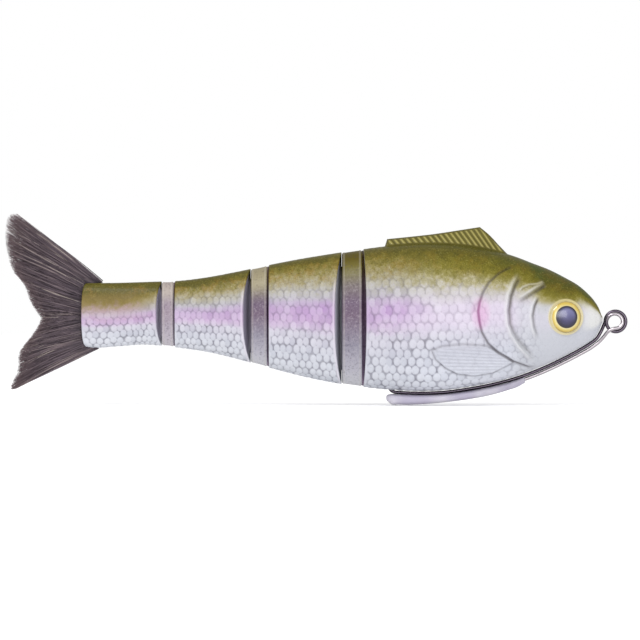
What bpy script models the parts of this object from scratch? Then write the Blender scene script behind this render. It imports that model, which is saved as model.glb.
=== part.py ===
"""Jointed trout swimbait: four hollow sections on three vertical hinges, a wire line tie with a keel weight,
domed eyes and a hair tail.

World axes: +X towards the nose, +Z towards the back, Y across. The origin is the centre of the line-tie eye.
Every dimension below is in millimetres and is turned into metres where a mesh is made.
"""

import math

import bmesh
import bpy
from mathutils import Matrix, Vector

MM = 0.001
SPLIT_GAP = 0.1
PIECE_GAP = 0.3
FAR = 60.0
SIDE_FAR = 20.0

# Side outline of the whole body: back line and belly line as (x, z).
BACK_LINE = [
    (-183.0, 13.0), (-169.0, 13.2), (-156.7, 13.6), (-148.5, 13.9), (-140.3, 14.9), (-129.4, 16.9),
    (-118.5, 19.2), (-107.6, 21.3), (-96.7, 23.1), (-85.8, 24.7), (-75.0, 26.0), (-63.0, 26.6), (-50.0, 25.8),
    (-42.0, 24.3), (-33.9, 22.0), (-28.5, 19.9), (-23.0, 17.8), (-17.6, 15.1), (-12.1, 11.8), (-9.4, 9.4),
    (-7.2, 6.9), (-5.7, 4.4), (-4.8, 2.0),
]
BELLY_LINE = [
    (-183.0, -8.4), (-177.0, -8.9), (-169.0, -8.4), (-160.8, -7.9), (-156.7, -8.1), (-148.5, -9.0),
    (-140.3, -10.2), (-132.0, -12.0), (-124.0, -14.2), (-115.8, -16.4), (-107.6, -18.5), (-99.4, -20.3),
    (-91.2, -21.7), (-83.0, -22.7), (-74.8, -23.4), (-66.7, -23.7), (-58.5, -23.4), (-50.3, -22.3),
    (-42.1, -20.8), (-33.9, -18.6), (-25.7, -15.5), (-17.6, -11.8), (-13.5, -9.6), (-9.4, -7.3), (-7.2, -5.6),
    (-5.7, -3.1), (-4.8, -0.8),
]
# Half width of the body as (x, half width).
HALF_WIDTH = [
    (-183.0, 3.5), (-170.0, 4.3), (-155.0, 5.3), (-140.0, 6.5), (-124.0, 7.9), (-108.0, 9.5), (-93.0, 11.0),
    (-80.0, 12.2), (-65.0, 13.0), (-50.0, 13.0), (-38.0, 12.3), (-28.0, 10.6), (-20.0, 8.7), (-14.0, 6.9),
    (-9.4, 5.2), (-6.8, 3.8), (-5.4, 2.7), (-4.8, 1.6),
]
RING_POINTS = 24
SIDE_FULLNESS = 0.78
CROWN_FULLNESS = 0.92

# Each section between its rear face and the apex of its front face, with the slope of that wedge.
HEAD_REAR_X = -84.6
FRONT_BODY = {"rear": -118.2, "apex": -93.7, "slope": 0.22}
REAR_BODY = {"rear": -150.2, "apex": -124.7, "slope": 0.33}
TAIL_BODY = {"rear": -182.0, "apex": -155.0, "slope": 0.36}
FRONT_WALL = 2.6
WALL = 1.8
TAIL_WALL = 1.5
HEAD_CAVITY_FRONT_X = -28.0
TAIL_CAVITY_REAR_X = -171.0

# Hinge blocks: visible band from rear to front, plug length inside the section in front, and the pin's X.
HINGES = {
    "front": {"rear": -93.3, "front": -86.6, "plug": -79.0, "pin": -90.0, "wall": WALL, "apex": -93.7},
    "middle": {"rear": -124.3, "front": -118.8, "plug": -112.5, "pin": -121.4, "wall": WALL, "apex": -124.7},
    "rear": {"rear": -154.6, "front": -150.6, "plug": -145.5, "pin": -152.2, "wall": WALL, "apex": -155.0},
}
BAND_RECESS = 0.6
PIN_RADIUS = 0.7
PIN_BORE_RADIUS = 1.0
EYE_WIRE_RADIUS = 0.5
EYE_RING_RADIUS = 1.55
EYE_SHANK_LENGTH = 7.5
EYE_HEIGHT_SHARE = 0.27

# Dorsal fin outline as (x, z), with its half thickness at the root and at the edge.
FIN_OUTLINE = [
    (-78.7, 24.0), (-78.7, 25.7), (-77.9, 28.1), (-70.0, 28.9), (-62.0, 29.8), (-54.0, 31.0), (-46.3, 32.2),
    (-43.2, 29.6), (-39.8, 26.0), (-36.3, 22.6), (-36.3, 20.0), (-58.0, 22.0),
]
FIN_HALF_ROOT = 1.3
FIN_HALF_EDGE = 0.6
FIN_ROOT_Z = 26.5

# Fish eyes.
EYE_X = -16.8
EYE_Z = 1.1
EYE_RADIUS = 5.7
EYE_TILT_DEG = 13.0
EYE_SURFACE_Y = 7.3
SOCKET_DEPTH = 1.9
IRIS_THICKNESS = 0.7
LENS_RISE = 1.9

# Line-tie wire: one wire bent double. Its upper strand starts in the belly, runs forward under the chin and up the
# nose, winds the eye, and comes back as the lower strand, which ends in the keel's groove.
WIRE_RADIUS = 0.6
WIRE_BORE_RADIUS = 0.95
COIL_LARGE_RADIUS = 3.5
COIL_SMALL_RADIUS = 2.3
COIL_HALF_DEPTH = 0.95
COIL_START_DEG = 180.0
COIL_TURN_DEG = 630.0
COIL_STEPS = 44
UPPER_STRAND = [
    (-77.1, 0.0, -18.5), (-77.1, 0.0, -21.5), (-76.8, 0.0, -23.3), (-75.7, 0.0, -24.2), (-73.5, 0.0, -24.5),
    (-66.7, 0.0, -24.7), (-58.5, 0.0, -24.4), (-50.3, 0.0, -23.3), (-42.0, 0.0, -21.8), (-33.6, 0.0, -19.5),
    (-25.3, 0.0, -16.4), (-17.2, 0.0, -12.65), (-13.0, 0.0, -10.45), (-8.8, 0.0, -8.0), (-6.4, 0.1, -6.1),
    (-4.8, 0.35, -3.5), (-3.85, 0.8, -1.2),
]
LOWER_STRAND = [
    (-1.5, -0.9, -2.75), (-2.7, -0.7, -3.6), (-3.9, -0.35, -5.2), (-5.6, -0.1, -7.25), (-8.1, 0.0, -9.2),
    (-12.3, 0.0, -11.6), (-16.6, 0.0, -13.85), (-24.8, 0.0, -17.65), (-33.2, 0.0, -20.8), (-41.8, 0.0, -23.1),
    (-50.2, 0.0, -24.6), (-58.5, 0.0, -25.7),
]

# Keel weight as (x, top z, bottom z, half width).
KEEL_STATIONS = [
    (-77.6, -25.4, -27.3, 1.9), (-76.9, -25.3, -28.0, 2.6), (-74.0, -25.35, -28.3, 3.1), (-66.0, -25.55, -28.2, 3.5),
    (-58.0, -25.2, -27.5, 3.5), (-50.0, -24.1, -26.5, 3.3), (-43.0, -22.8, -25.2, 2.9), (-37.0, -21.4, -23.5, 2.4),
    (-33.0, -20.1, -22.1, 1.9), (-31.5, -19.6, -21.2, 1.5),
]

# Hair tail lobes as (x, z, half thickness), root first.
TAIL_UPPER = [
    (-174.0, 13.0), (-176.0, 15.3), (-181.6, 20.6), (-187.4, 24.9), (-195.2, 30.5), (-204.2, 37.0),
    (-205.8, 37.0), (-208.2, 29.2), (-207.3, 22.7), (-205.5, 17.2), (-202.0, 12.8), (-199.4, 6.3), (-195.9, 1.5),
    (-181.9, 1.3), (-181.9, 13.0),
]
TAIL_LOWER = [
    (-174.0, -9.2), (-181.9, -8.6), (-181.9, 1.0), (-195.9, 0.8), (-196.9, -1.2), (-199.4, -5.1),
    (-203.4, -10.7), (-204.0, -16.5), (-205.8, -23.4), (-199.0, -20.0), (-185.7, -12.4), (-179.5, -10.3),
]
TAIL_LOBE_HALF = 0.6
TAIL_TAB = [(-181.5, -8.2), (-181.5, 12.6), (-172.8, 12.6), (-172.8, -8.2)]
TAIL_TAB_HALF = 0.8
SLOT_FRONT_X = -172.4
SLOT_HALF = 1.1
TAIL_PIN_X = -177.0
TAIL_PIN_Z = 2.4
TAIL_PIN_RADIUS = 1.0
TAIL_PIN_LENGTH = 4.4

COLOURS = {
    "printed_skin": (0.62, 0.62, 0.66, 1.0),
    "hinge_band": (0.30, 0.27, 0.33, 1.0),
    "steel_wire": (0.62, 0.61, 0.62, 1.0),
    "pearl_keel": (0.70, 0.67, 0.72, 1.0),
    "eye_iris": (0.80, 0.70, 0.25, 1.0),
    "eye_lens": (0.06, 0.05, 0.12, 1.0),
    "tail_hair": (0.13, 0.07, 0.11, 1.0),
    "tail_tab": (0.10, 0.08, 0.10, 1.0),
}


def clear_scene():
    for item in list(bpy.data.objects):
        bpy.data.objects.remove(item, do_unlink=True)


def new_collection(name, hidden):
    collection = bpy.data.collections.new(name)
    bpy.context.scene.collection.children.link(collection)
    collection.hide_render = hidden
    return collection


def new_material(name, metallic=0.0, roughness=0.4):
    material = bpy.data.materials.new(name)
    material.use_nodes = True
    shader = material.node_tree.nodes["Principled BSDF"]
    shader.inputs["Base Color"].default_value = COLOURS[name]
    shader.inputs["Metallic"].default_value = metallic
    shader.inputs["Roughness"].default_value = roughness
    return material


def table_value(table, x):
    """Straight-line reading of a table of (x, value) that rises in x."""
    if x <= table[0][0]:
        return table[0][1]
    for (x0, v0), (x1, v1) in zip(table, table[1:]):
        if x <= x1:
            return v0 + (v1 - v0) * (x - x0) / (x1 - x0)
    return table[-1][1]


def body_ring(x, inset):
    """Points round the body's cross-section at x, moved in by inset."""
    top = table_value(BACK_LINE, x) - inset
    bottom = table_value(BELLY_LINE, x) + inset
    half = table_value(HALF_WIDTH, x) - inset
    middle = 0.5 * (top + bottom)
    reach = 0.5 * (top - bottom)
    ring = []
    for step in range(RING_POINTS):
        angle = 2.0 * math.pi * step / RING_POINTS
        across = math.cos(angle)
        up = math.sin(angle)
        y = math.copysign(half * abs(across) ** SIDE_FULLNESS, across)
        z = middle + math.copysign(reach * abs(up) ** CROWN_FULLNESS, up)
        if abs(across) < 1e-9:
            y = 0.0
        ring.append((x, y, z))
    return ring


def link_mesh(name, bm, collection, material=None):
    bmesh.ops.recalc_face_normals(bm, faces=bm.faces)
    mesh = bpy.data.meshes.new(name)
    bm.to_mesh(mesh)
    bm.free()
    item = bpy.data.objects.new(name, mesh)
    collection.objects.link(item)
    if material is None:
        item.display_type = "WIRE"
        item.hide_render = True
    else:
        mesh.materials.append(material)
    return item


def loft(name, rings, collection, material=None):
    """Closed skin through rings of equal length, capped at both ends."""
    bm = bmesh.new()
    loops = [[bm.verts.new(Vector(p) * MM) for p in ring] for ring in rings]
    count = len(loops[0])
    for first, second in zip(loops, loops[1:]):
        for i in range(count):
            j = (i + 1) % count
            bm.faces.new((first[i], first[j], second[j], second[i]))
    bm.faces.new(loops[0])
    bm.faces.new(loops[-1])
    return link_mesh(name, bm, collection, material)


def prism(name, outline, low, high, axis, collection, material=None):
    """Outline of (u, v) pushed from low to high along axis: along Z the outline is (x, y), along Y it is (x, z)."""
    bm = bmesh.new()
    loops = []
    for level in (low, high):
        if axis == "Z":
            points = [(u, v, level) for u, v in outline]
        else:
            points = [(u, level, v) for u, v in outline]
        loops.append([bm.verts.new(Vector(p) * MM) for p in points])
    count = len(outline)
    for i in range(count):
        j = (i + 1) % count
        bm.faces.new((loops[0][i], loops[0][j], loops[1][j], loops[1][i]))
    bm.faces.new(loops[0])
    bm.faces.new(loops[1])
    return link_mesh(name, bm, collection, material)


def leaf(name, outline, collection, material=None):
    """Flat leaf from an outline of (x, z, half thickness)."""
    bm = bmesh.new()
    near = [bm.verts.new(Vector((x, -half, z)) * MM) for x, z, half in outline]
    far = [bm.verts.new(Vector((x, half, z)) * MM) for x, z, half in outline]
    count = len(outline)
    for i in range(count):
        j = (i + 1) % count
        bm.faces.new((near[i], near[j], far[j], far[i]))
    bm.faces.new(near)
    bm.faces.new(far)
    bmesh.ops.triangulate(bm, faces=bm.faces)
    return link_mesh(name, bm, collection, material)


def cylinder(name, radius, length, centre, direction, collection, material=None, sides=20, origin=None):
    """Cylinder about direction. The object's origin is its own centre unless another one is given, in mm."""
    bm = bmesh.new()
    bmesh.ops.create_cone(
        bm, cap_ends=True, segments=sides, radius1=radius * MM, radius2=radius * MM, depth=length * MM
    )
    turn = Vector((0, 0, 1)).rotation_difference(Vector(direction)).to_matrix().to_4x4()
    base = Vector(centre if origin is None else origin)
    shift = Matrix.Translation((Vector(centre) - base) * MM)
    bmesh.ops.transform(bm, matrix=shift @ turn, verts=bm.verts)
    item = link_mesh(name, bm, collection, material)
    item.location = base * MM
    return item


def tube(name, path, radius, collection, material=None, resolution=2):
    """Round wire along a path of points, with closed ends, as a mesh."""
    curve = bpy.data.curves.new(name + "_path", "CURVE")
    curve.dimensions = "3D"
    curve.bevel_depth = radius * MM
    curve.bevel_resolution = resolution
    curve.use_fill_caps = True
    spline = curve.splines.new("POLY")
    spline.points.add(len(path) - 1)
    for point, place in zip(spline.points, path):
        point.co = (place[0] * MM, place[1] * MM, place[2] * MM, 1.0)
    helper = bpy.data.objects.new(name + "_helper", curve)
    collection.objects.link(helper)
    bpy.context.view_layer.update()
    graph = bpy.context.evaluated_depsgraph_get()
    mesh = bpy.data.meshes.new_from_object(helper.evaluated_get(graph))
    bpy.data.objects.remove(helper, do_unlink=True)
    bm = bmesh.new()
    bm.from_mesh(mesh)
    bpy.data.meshes.remove(mesh)
    bmesh.ops.remove_doubles(bm, verts=bm.verts, dist=0.00001)
    return link_mesh(name, bm, collection, material)


def boolean(item, cutter, operation):
    step = item.modifiers.new(operation.lower() + "_" + cutter.name, "BOOLEAN")
    step.operation = operation
    step.object = cutter
    step.solver = "EXACT"


def smooth(item):
    for face in item.data.polygons:
        face.use_smooth = True


def stations(low, high, table_step):
    """Evenly spread x values from low to high."""
    count = max(2, int(round((high - low) / table_step)))
    return [low + (high - low) * i / count for i in range(count + 1)]


def half_prism(name, rear, apex, slope, side, collection):
    """Half of the space between a flat rear face and a wedge-shaped front face."""
    near = SPLIT_GAP
    outline = [
        (rear, side * near), (apex - slope * near, side * near),
        (apex - slope * SIDE_FAR, side * SIDE_FAR), (rear, side * SIDE_FAR),
    ]
    if side < 0:
        outline.reverse()
    return prism(name, outline, -FAR, FAR, "Z", collection)


def cavity(name, low, high, slope, wall, cutters):
    """Hollow of a section, with its front end following the wedge."""
    inner = loft(name, [body_ring(x, wall) for x in stations(low, high, 6.0)], cutters)
    back = high - slope * SIDE_FAR
    outline = [(low - 2.0, -SIDE_FAR), (back, -SIDE_FAR), (high, 0.0), (back, SIDE_FAR), (low - 2.0, SIDE_FAR)]
    limit = prism(name + "_limit", outline, -FAR, FAR, "Z", cutters)
    boolean(inner, limit, "INTERSECT")
    return inner


def section_shells(label, rings, spec, hollow, extra_cuts, join, parts, cutters, material):
    """The left and right mouldings of one section."""
    shells = []
    for side, word in ((1.0, "left"), (-1.0, "right")):
        shell = loft(label + "_shell_" + word, rings, parts, material)
        if join is not None:
            boolean(shell, join, "UNION")
        limit = half_prism(label + "_half_" + word, spec["rear"], spec["apex"], spec["slope"], side, cutters)
        boolean(shell, limit, "INTERSECT")
        boolean(shell, hollow, "DIFFERENCE")
        for cut in extra_cuts:
            boolean(shell, cut, "DIFFERENCE")
        shells.append(shell)
    return shells


def eye_heights(pin_x):
    """Heights of the upper and lower hinge eyes on a pin."""
    top = table_value(BACK_LINE, pin_x)
    bottom = table_value(BELLY_LINE, pin_x)
    middle = 0.5 * (top + bottom)
    step = EYE_HEIGHT_SHARE * (top - bottom)
    return {"upper": middle + step, "lower": middle - step}


def hinge_pieces(label, spec, parts, cutters, materials):
    """Hinge block fixed in the section in front, its pin, and the two wire eyes of the section behind."""
    pin_x = spec["pin"]
    pin_origin = (pin_x, 0.0, 0.0)
    heights = eye_heights(pin_x)
    band_front = spec["front"]
    plug_inset = spec["wall"] + PIECE_GAP
    rings = [body_ring(x, BAND_RECESS) for x in stations(spec["rear"], band_front, 3.4)]
    rings += [body_ring(x, plug_inset) for x in stations(band_front + 0.01, spec["plug"], 4.0)]
    block = loft(label + "_hinge_block", rings, parts, materials["hinge_band"])
    top = table_value(BACK_LINE, pin_x)
    bottom = table_value(BELLY_LINE, pin_x)
    bore_top = top - 3.0
    bore = cylinder(
        label + "_pin_bore", PIN_BORE_RADIUS, bore_top - (bottom - 3.0), (pin_x, 0.0, 0.5 * (bore_top + bottom - 3.0)),
        (0, 0, 1), cutters, sides=16,
    )
    boolean(block, bore, "DIFFERENCE")
    pocket_half = EYE_RING_RADIUS + EYE_WIRE_RADIUS + 0.35
    pocket_outline = [
        (spec["rear"] - 1.0, -pocket_half), (pin_x + pocket_half, -pocket_half),
        (pin_x + pocket_half, pocket_half), (spec["rear"] - 1.0, pocket_half),
    ]
    eyes = []
    pocket_height = EYE_WIRE_RADIUS + 0.35
    for word, height in heights.items():
        pocket = prism(
            label + "_pocket_" + word, pocket_outline, height - pocket_height, height + pocket_height, "Z", cutters
        )
        boolean(block, pocket, "DIFFERENCE")
        eyes.append(hinge_eye(label, word, pin_x, height, spec, parts, cutters, materials["steel_wire"]))
    pin_low = bottom + 1.0
    pin_high = bore_top - 0.4
    pin = cylinder(
        label + "_hinge_pin", PIN_RADIUS, pin_high - pin_low, (pin_x, 0.0, 0.5 * (pin_high + pin_low)),
        (0, 0, 1), parts, materials["steel_wire"], sides=16, origin=pin_origin,
    )
    smooth(pin)
    return block, eyes


def hinge_eye(label, word, pin_x, height, spec, parts, cutters, material):
    """Closed wire eye round the pin with a shank that runs back into the section behind."""
    steps = 20
    path = []
    for i in range(steps + 1):
        angle = math.radians(200.0 + 320.0 * i / steps)
        path.append((EYE_RING_RADIUS * math.cos(angle), EYE_RING_RADIUS * math.sin(angle), 0.0))
    ring = tube(label + "_hinge_eye_" + word, path, EYE_WIRE_RADIUS, parts, material, resolution=1)
    rear = spec["apex"] - EYE_SHANK_LENGTH - pin_x
    shank = cylinder(
        label + "_shank_" + word, EYE_WIRE_RADIUS, -(rear + EYE_RING_RADIUS - 0.4),
        (0.5 * (rear - EYE_RING_RADIUS + 0.4), 0.0, 0.0), (1, 0, 0), cutters, sides=10, origin=(0.0, 0.0, 0.0),
    )
    collar = cylinder(
        label + "_collar_" + word, 1.1, 0.8, (rear + 1.2, 0.0, 0.0), (1, 0, 0), cutters, sides=12, origin=(0.0, 0.0, 0.0)
    )
    for helper in (shank, collar):
        helper.location = (pin_x * MM, 0.0, height * MM)
        boolean(ring, helper, "UNION")
    ring.location = (pin_x * MM, 0.0, height * MM)
    return ring


def shank_bores(label, spec, cutters):
    """Bores for the two eye shanks through the front wall of the section behind."""
    bores = []
    for word, height in eye_heights(spec["pin"]).items():
        low = spec["apex"] - EYE_SHANK_LENGTH
        bores.append(
            cylinder(
                label + "_shank_bore_" + word, EYE_WIRE_RADIUS + PIECE_GAP, 9.0, (low + 4.5 - 0.5, 0.0, height),
                (1, 0, 0), cutters, sides=12,
            )
        )
    return bores


def fin_join(cutters):
    outline = []
    for x, z in FIN_OUTLINE:
        share = min(1.0, max(0.0, (z - FIN_ROOT_Z) / 5.0))
        outline.append((x, z, FIN_HALF_ROOT + (FIN_HALF_EDGE - FIN_HALF_ROOT) * share))
    return leaf("dorsal_fin_join", outline, cutters)


def eye_frame(side):
    """Turn and centre of one fish eye: local +Z looks out of the flank and a little forward."""
    tilt = math.radians(EYE_TILT_DEG)
    outward = Vector((math.sin(tilt), side * math.cos(tilt), 0.0))
    turn = Vector((0, 0, 1)).rotation_difference(outward).to_matrix().to_4x4()
    return turn, Vector((EYE_X, side * EYE_SURFACE_Y, EYE_Z)), outward


def eye_sockets(cutters):
    cuts = []
    for side, word in ((1.0, "left"), (-1.0, "right")):
        _, centre, outward = eye_frame(side)
        middle = centre + outward * (4.0 - SOCKET_DEPTH)
        cuts.append(
            cylinder("eye_socket_" + word, EYE_RADIUS + PIECE_GAP, 8.0, middle, outward, cutters, sides=32)
        )
    return cuts


def fish_eyes(parts, materials):
    for side, word in ((1.0, "left"), (-1.0, "right")):
        turn, centre, outward = eye_frame(side)
        back = centre + outward * (PIECE_GAP - SOCKET_DEPTH)
        iris = cylinder(
            word + "_eye_iris", EYE_RADIUS, IRIS_THICKNESS, back + outward * (0.5 * IRIS_THICKNESS), outward, parts,
            materials["eye_iris"], sides=32,
        )
        smooth(iris)
        base = back + outward * (IRIS_THICKNESS + 0.1)
        profile = [(EYE_RADIUS, 0.0), (EYE_RADIUS, 0.7), (5.1, 1.5), (4.1, 2.1), (2.7, 2.6), (1.2, 2.85)]
        rings = []
        for radius, rise in profile:
            ring = []
            for step in range(32):
                angle = 2.0 * math.pi * step / 32
                local = Vector((radius * math.cos(angle), radius * math.sin(angle), rise))
                ring.append(tuple(turn @ local + base))
            rings.append(ring)
        lens = loft(word + "_eye_lens", rings, parts, materials["eye_lens"])
        smooth(lens)


def wire_path():
    path = list(UPPER_STRAND)
    for i in range(COIL_STEPS + 1):
        share = i / COIL_STEPS
        angle = math.radians(COIL_START_DEG - COIL_TURN_DEG * share)
        radius = COIL_LARGE_RADIUS + (COIL_SMALL_RADIUS - COIL_LARGE_RADIUS) * share
        y = COIL_HALF_DEPTH * (1.0 - 2.0 * share)
        path.append((radius * math.cos(angle), y, radius * math.sin(angle)))
    return path + LOWER_STRAND


def line_tie(parts, materials):
    wire = tube("line_tie_wire", wire_path(), WIRE_RADIUS, parts, materials["steel_wire"])
    smooth(wire)
    return wire


def wire_bore(cutters):
    """Bore in the belly for the wire's rear end."""
    return cylinder("wire_rear_bore", WIRE_BORE_RADIUS, 14.0, (-77.1, 0.0, -22.0), (0, 0, 1), cutters, sides=12)


def keel_weight(parts, cutters, materials):
    """Pod under the belly with a groove along its top that holds the wire."""
    rings = []
    for x, top, bottom, half in KEEL_STATIONS:
        middle = 0.5 * (top + bottom)
        reach = 0.5 * (top - bottom)
        ring = []
        for step in range(16):
            angle = 2.0 * math.pi * step / 16
            across = math.cos(angle)
            up = math.sin(angle)
            y = math.copysign(half * abs(across) ** 0.7, across) if abs(across) > 1e-9 else 0.0
            z = middle + math.copysign(reach * abs(up) ** 0.6, up) if abs(up) > 1e-9 else middle
            ring.append((x, y, z))
        rings.append(ring)
    keel = loft("keel_weight", rings, parts, materials["pearl_keel"])
    groove_path = [p for p in LOWER_STRAND if p[0] < -20.0] + [(-59.5, 0.0, -25.75)]
    groove = tube("keel_groove", groove_path, WIRE_RADIUS + PIECE_GAP, cutters)
    boolean(keel, groove, "DIFFERENCE")
    smooth(keel)
    return keel


def tail_pieces(parts, materials):
    tab = prism("tail_tab", TAIL_TAB, -TAIL_TAB_HALF, TAIL_TAB_HALF, "Y", parts, materials["tail_tab"])
    hole = cylinder(
        "tail_tab_hole", TAIL_PIN_RADIUS + PIECE_GAP, 8.0, (TAIL_PIN_X, 0.0, TAIL_PIN_Z), (0, 1, 0),
        bpy.data.collections["cutters"], sides=16,
    )
    boolean(tab, hole, "DIFFERENCE")
    pin = cylinder(
        "tail_pin", TAIL_PIN_RADIUS, TAIL_PIN_LENGTH, (TAIL_PIN_X, 0.0, TAIL_PIN_Z), (0, 1, 0), parts,
        materials["steel_wire"], sides=16,
    )
    smooth(pin)
    half = TAIL_LOBE_HALF
    prism("tail_brush_upper", TAIL_UPPER, -half, half, "Y", parts, materials["tail_hair"])
    prism("tail_brush_lower", TAIL_LOWER, -half, half, "Y", parts, materials["tail_hair"])


def head_section(parts, cutters, materials):
    spec = {"rear": HEAD_REAR_X, "apex": 0.0, "slope": 0.0}
    places = [-85.6, -80.0, -72.0, -63.0, -54.0, -46.0, -39.0, -33.0, -28.0, -23.0, -18.5, -14.5, -11.5, -9.4, -7.2,
              -5.7, -4.8]
    hollow = cavity("head_cavity", HEAD_REAR_X - 2.0, HEAD_CAVITY_FRONT_X, 0.0, WALL, cutters)
    cuts = eye_sockets(cutters) + [wire_bore(cutters)]
    rings = [body_ring(x, 0.0) for x in places]
    return section_shells("head", rings, spec, hollow, cuts, fin_join(cutters), parts, cutters, materials["printed_skin"])


def body_section(label, spec, hinge, parts, cutters, materials):
    """A middle section: open behind for the next hinge block, walled in front."""
    hollow = cavity(label + "_cavity", spec["rear"] - 2.0, spec["apex"] - FRONT_WALL, spec["slope"], WALL, cutters)
    cuts = shank_bores(label, hinge, cutters)
    rings = [body_ring(x, 0.0) for x in stations(spec["rear"] - 1.0, spec["apex"] + 1.0, 4.5)]
    return section_shells(label, rings, spec, hollow, cuts, None, parts, cutters, materials["printed_skin"])


def tail_section(parts, cutters, materials):
    spec = TAIL_BODY
    hollow = cavity("tail_cavity", TAIL_CAVITY_REAR_X, spec["apex"] - FRONT_WALL, spec["slope"], TAIL_WALL, cutters)
    cuts = shank_bores("tail_body", HINGES["rear"], cutters)
    slot = prism(
        "tail_slot", [(-190.0, -SLOT_HALF), (SLOT_FRONT_X, -SLOT_HALF), (SLOT_FRONT_X, SLOT_HALF), (-190.0, SLOT_HALF)],
        -FAR, FAR, "Z", cutters,
    )
    pin_hole = cylinder(
        "tail_pin_bore", TAIL_PIN_RADIUS + PIECE_GAP, TAIL_PIN_LENGTH + 2 * PIECE_GAP, (TAIL_PIN_X, 0.0, TAIL_PIN_Z),
        (0, 1, 0), cutters, sides=16,
    )
    cuts += [slot, pin_hole]
    rings = [body_ring(x, 0.0) for x in stations(spec["rear"] - 1.0, spec["apex"] + 1.0, 4.5)]
    return section_shells("tail_body", rings, spec, hollow, cuts, None, parts, cutters, materials["printed_skin"])


def joint_empties(collection):
    """Empties on the three hinge axes, each one carried by the one in front."""
    empties = {}
    carrier = None
    for label, body in (("front", "front_body"), ("middle", "rear_body"), ("rear", "tail_body")):
        empty = bpy.data.objects.new(body + "_axis", None)
        empty.empty_display_size = 5.0 * MM
        empty.location = (HINGES[label]["pin"] * MM, 0.0, 0.0)
        collection.objects.link(empty)
        if carrier is not None:
            empty.parent = carrier
            empty.matrix_parent_inverse = Matrix.Translation(-empties_place(carrier))
        empties[body] = empty
        carrier = empty
    return empties


def empties_place(empty):
    """World place of a hinge empty, whose stored location is already in world axes."""
    return Vector(empty.location)


def hang_on_axes(parts, empties):
    """Parents every piece to the empty of the section that it moves with."""
    riders = {
        "front_body": ("front_body_shell", "front_hinge_eye", "middle_hinge_block", "middle_hinge_pin"),
        "rear_body": ("rear_body_shell", "middle_hinge_eye", "rear_hinge_block", "rear_hinge_pin"),
        "tail_body": ("tail_", "rear_hinge_eye"),
    }
    for item in parts.objects:
        for body, starts in riders.items():
            if item.type == "MESH" and item.name.startswith(starts):
                item.parent = empties[body]
                item.matrix_parent_inverse = Matrix.Translation(-empties_place(empties[body]))


def build():
    clear_scene()
    parts = new_collection("jointed_swimbait", False)
    cutters = new_collection("cutters", True)
    finish = {
        "printed_skin": (0.0, 0.3), "hinge_band": (0.0, 0.5), "steel_wire": (1.0, 0.25), "pearl_keel": (0.0, 0.3),
        "eye_iris": (0.4, 0.3), "eye_lens": (0.0, 0.05), "tail_hair": (0.0, 0.6), "tail_tab": (0.0, 0.5),
    }
    materials = {name: new_material(name, *values) for name, values in finish.items()}
    head_section(parts, cutters, materials)
    body_section("front_body", FRONT_BODY, HINGES["front"], parts, cutters, materials)
    body_section("rear_body", REAR_BODY, HINGES["middle"], parts, cutters, materials)
    tail_section(parts, cutters, materials)
    for label, spec in HINGES.items():
        hinge_pieces(label, spec, parts, cutters, materials)
    line_tie(parts, materials)
    keel_weight(parts, cutters, materials)
    fish_eyes(parts, materials)
    tail_pieces(parts, materials)
    hang_on_axes(parts, joint_empties(parts))


build()
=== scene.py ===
"""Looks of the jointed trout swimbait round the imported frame. Tables are in millimetres, meshes in metres."""

import math
from itertools import product

import bpy
import numpy as np
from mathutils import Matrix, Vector


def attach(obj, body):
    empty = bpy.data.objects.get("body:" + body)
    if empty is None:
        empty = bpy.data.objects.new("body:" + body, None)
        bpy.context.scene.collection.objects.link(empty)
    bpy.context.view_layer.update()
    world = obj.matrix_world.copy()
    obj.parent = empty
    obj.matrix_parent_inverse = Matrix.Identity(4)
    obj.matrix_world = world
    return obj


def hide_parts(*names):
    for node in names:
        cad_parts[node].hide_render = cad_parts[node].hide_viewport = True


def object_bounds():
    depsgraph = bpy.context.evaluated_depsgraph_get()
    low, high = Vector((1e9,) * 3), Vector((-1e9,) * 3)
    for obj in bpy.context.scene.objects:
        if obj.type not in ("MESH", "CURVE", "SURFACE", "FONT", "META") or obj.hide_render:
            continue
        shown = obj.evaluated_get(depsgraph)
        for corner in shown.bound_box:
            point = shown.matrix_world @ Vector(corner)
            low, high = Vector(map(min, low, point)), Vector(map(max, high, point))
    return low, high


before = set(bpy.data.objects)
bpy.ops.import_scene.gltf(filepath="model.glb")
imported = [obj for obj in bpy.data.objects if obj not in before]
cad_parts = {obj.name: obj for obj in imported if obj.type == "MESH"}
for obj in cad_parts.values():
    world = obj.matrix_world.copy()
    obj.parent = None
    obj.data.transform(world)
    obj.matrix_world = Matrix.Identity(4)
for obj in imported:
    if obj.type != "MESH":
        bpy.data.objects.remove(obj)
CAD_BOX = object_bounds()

MM = 0.001
PI = math.pi
PAINT_GAIN = 0.56  # share of a display colour's light that paint has to reflect to show it in this studio

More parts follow.
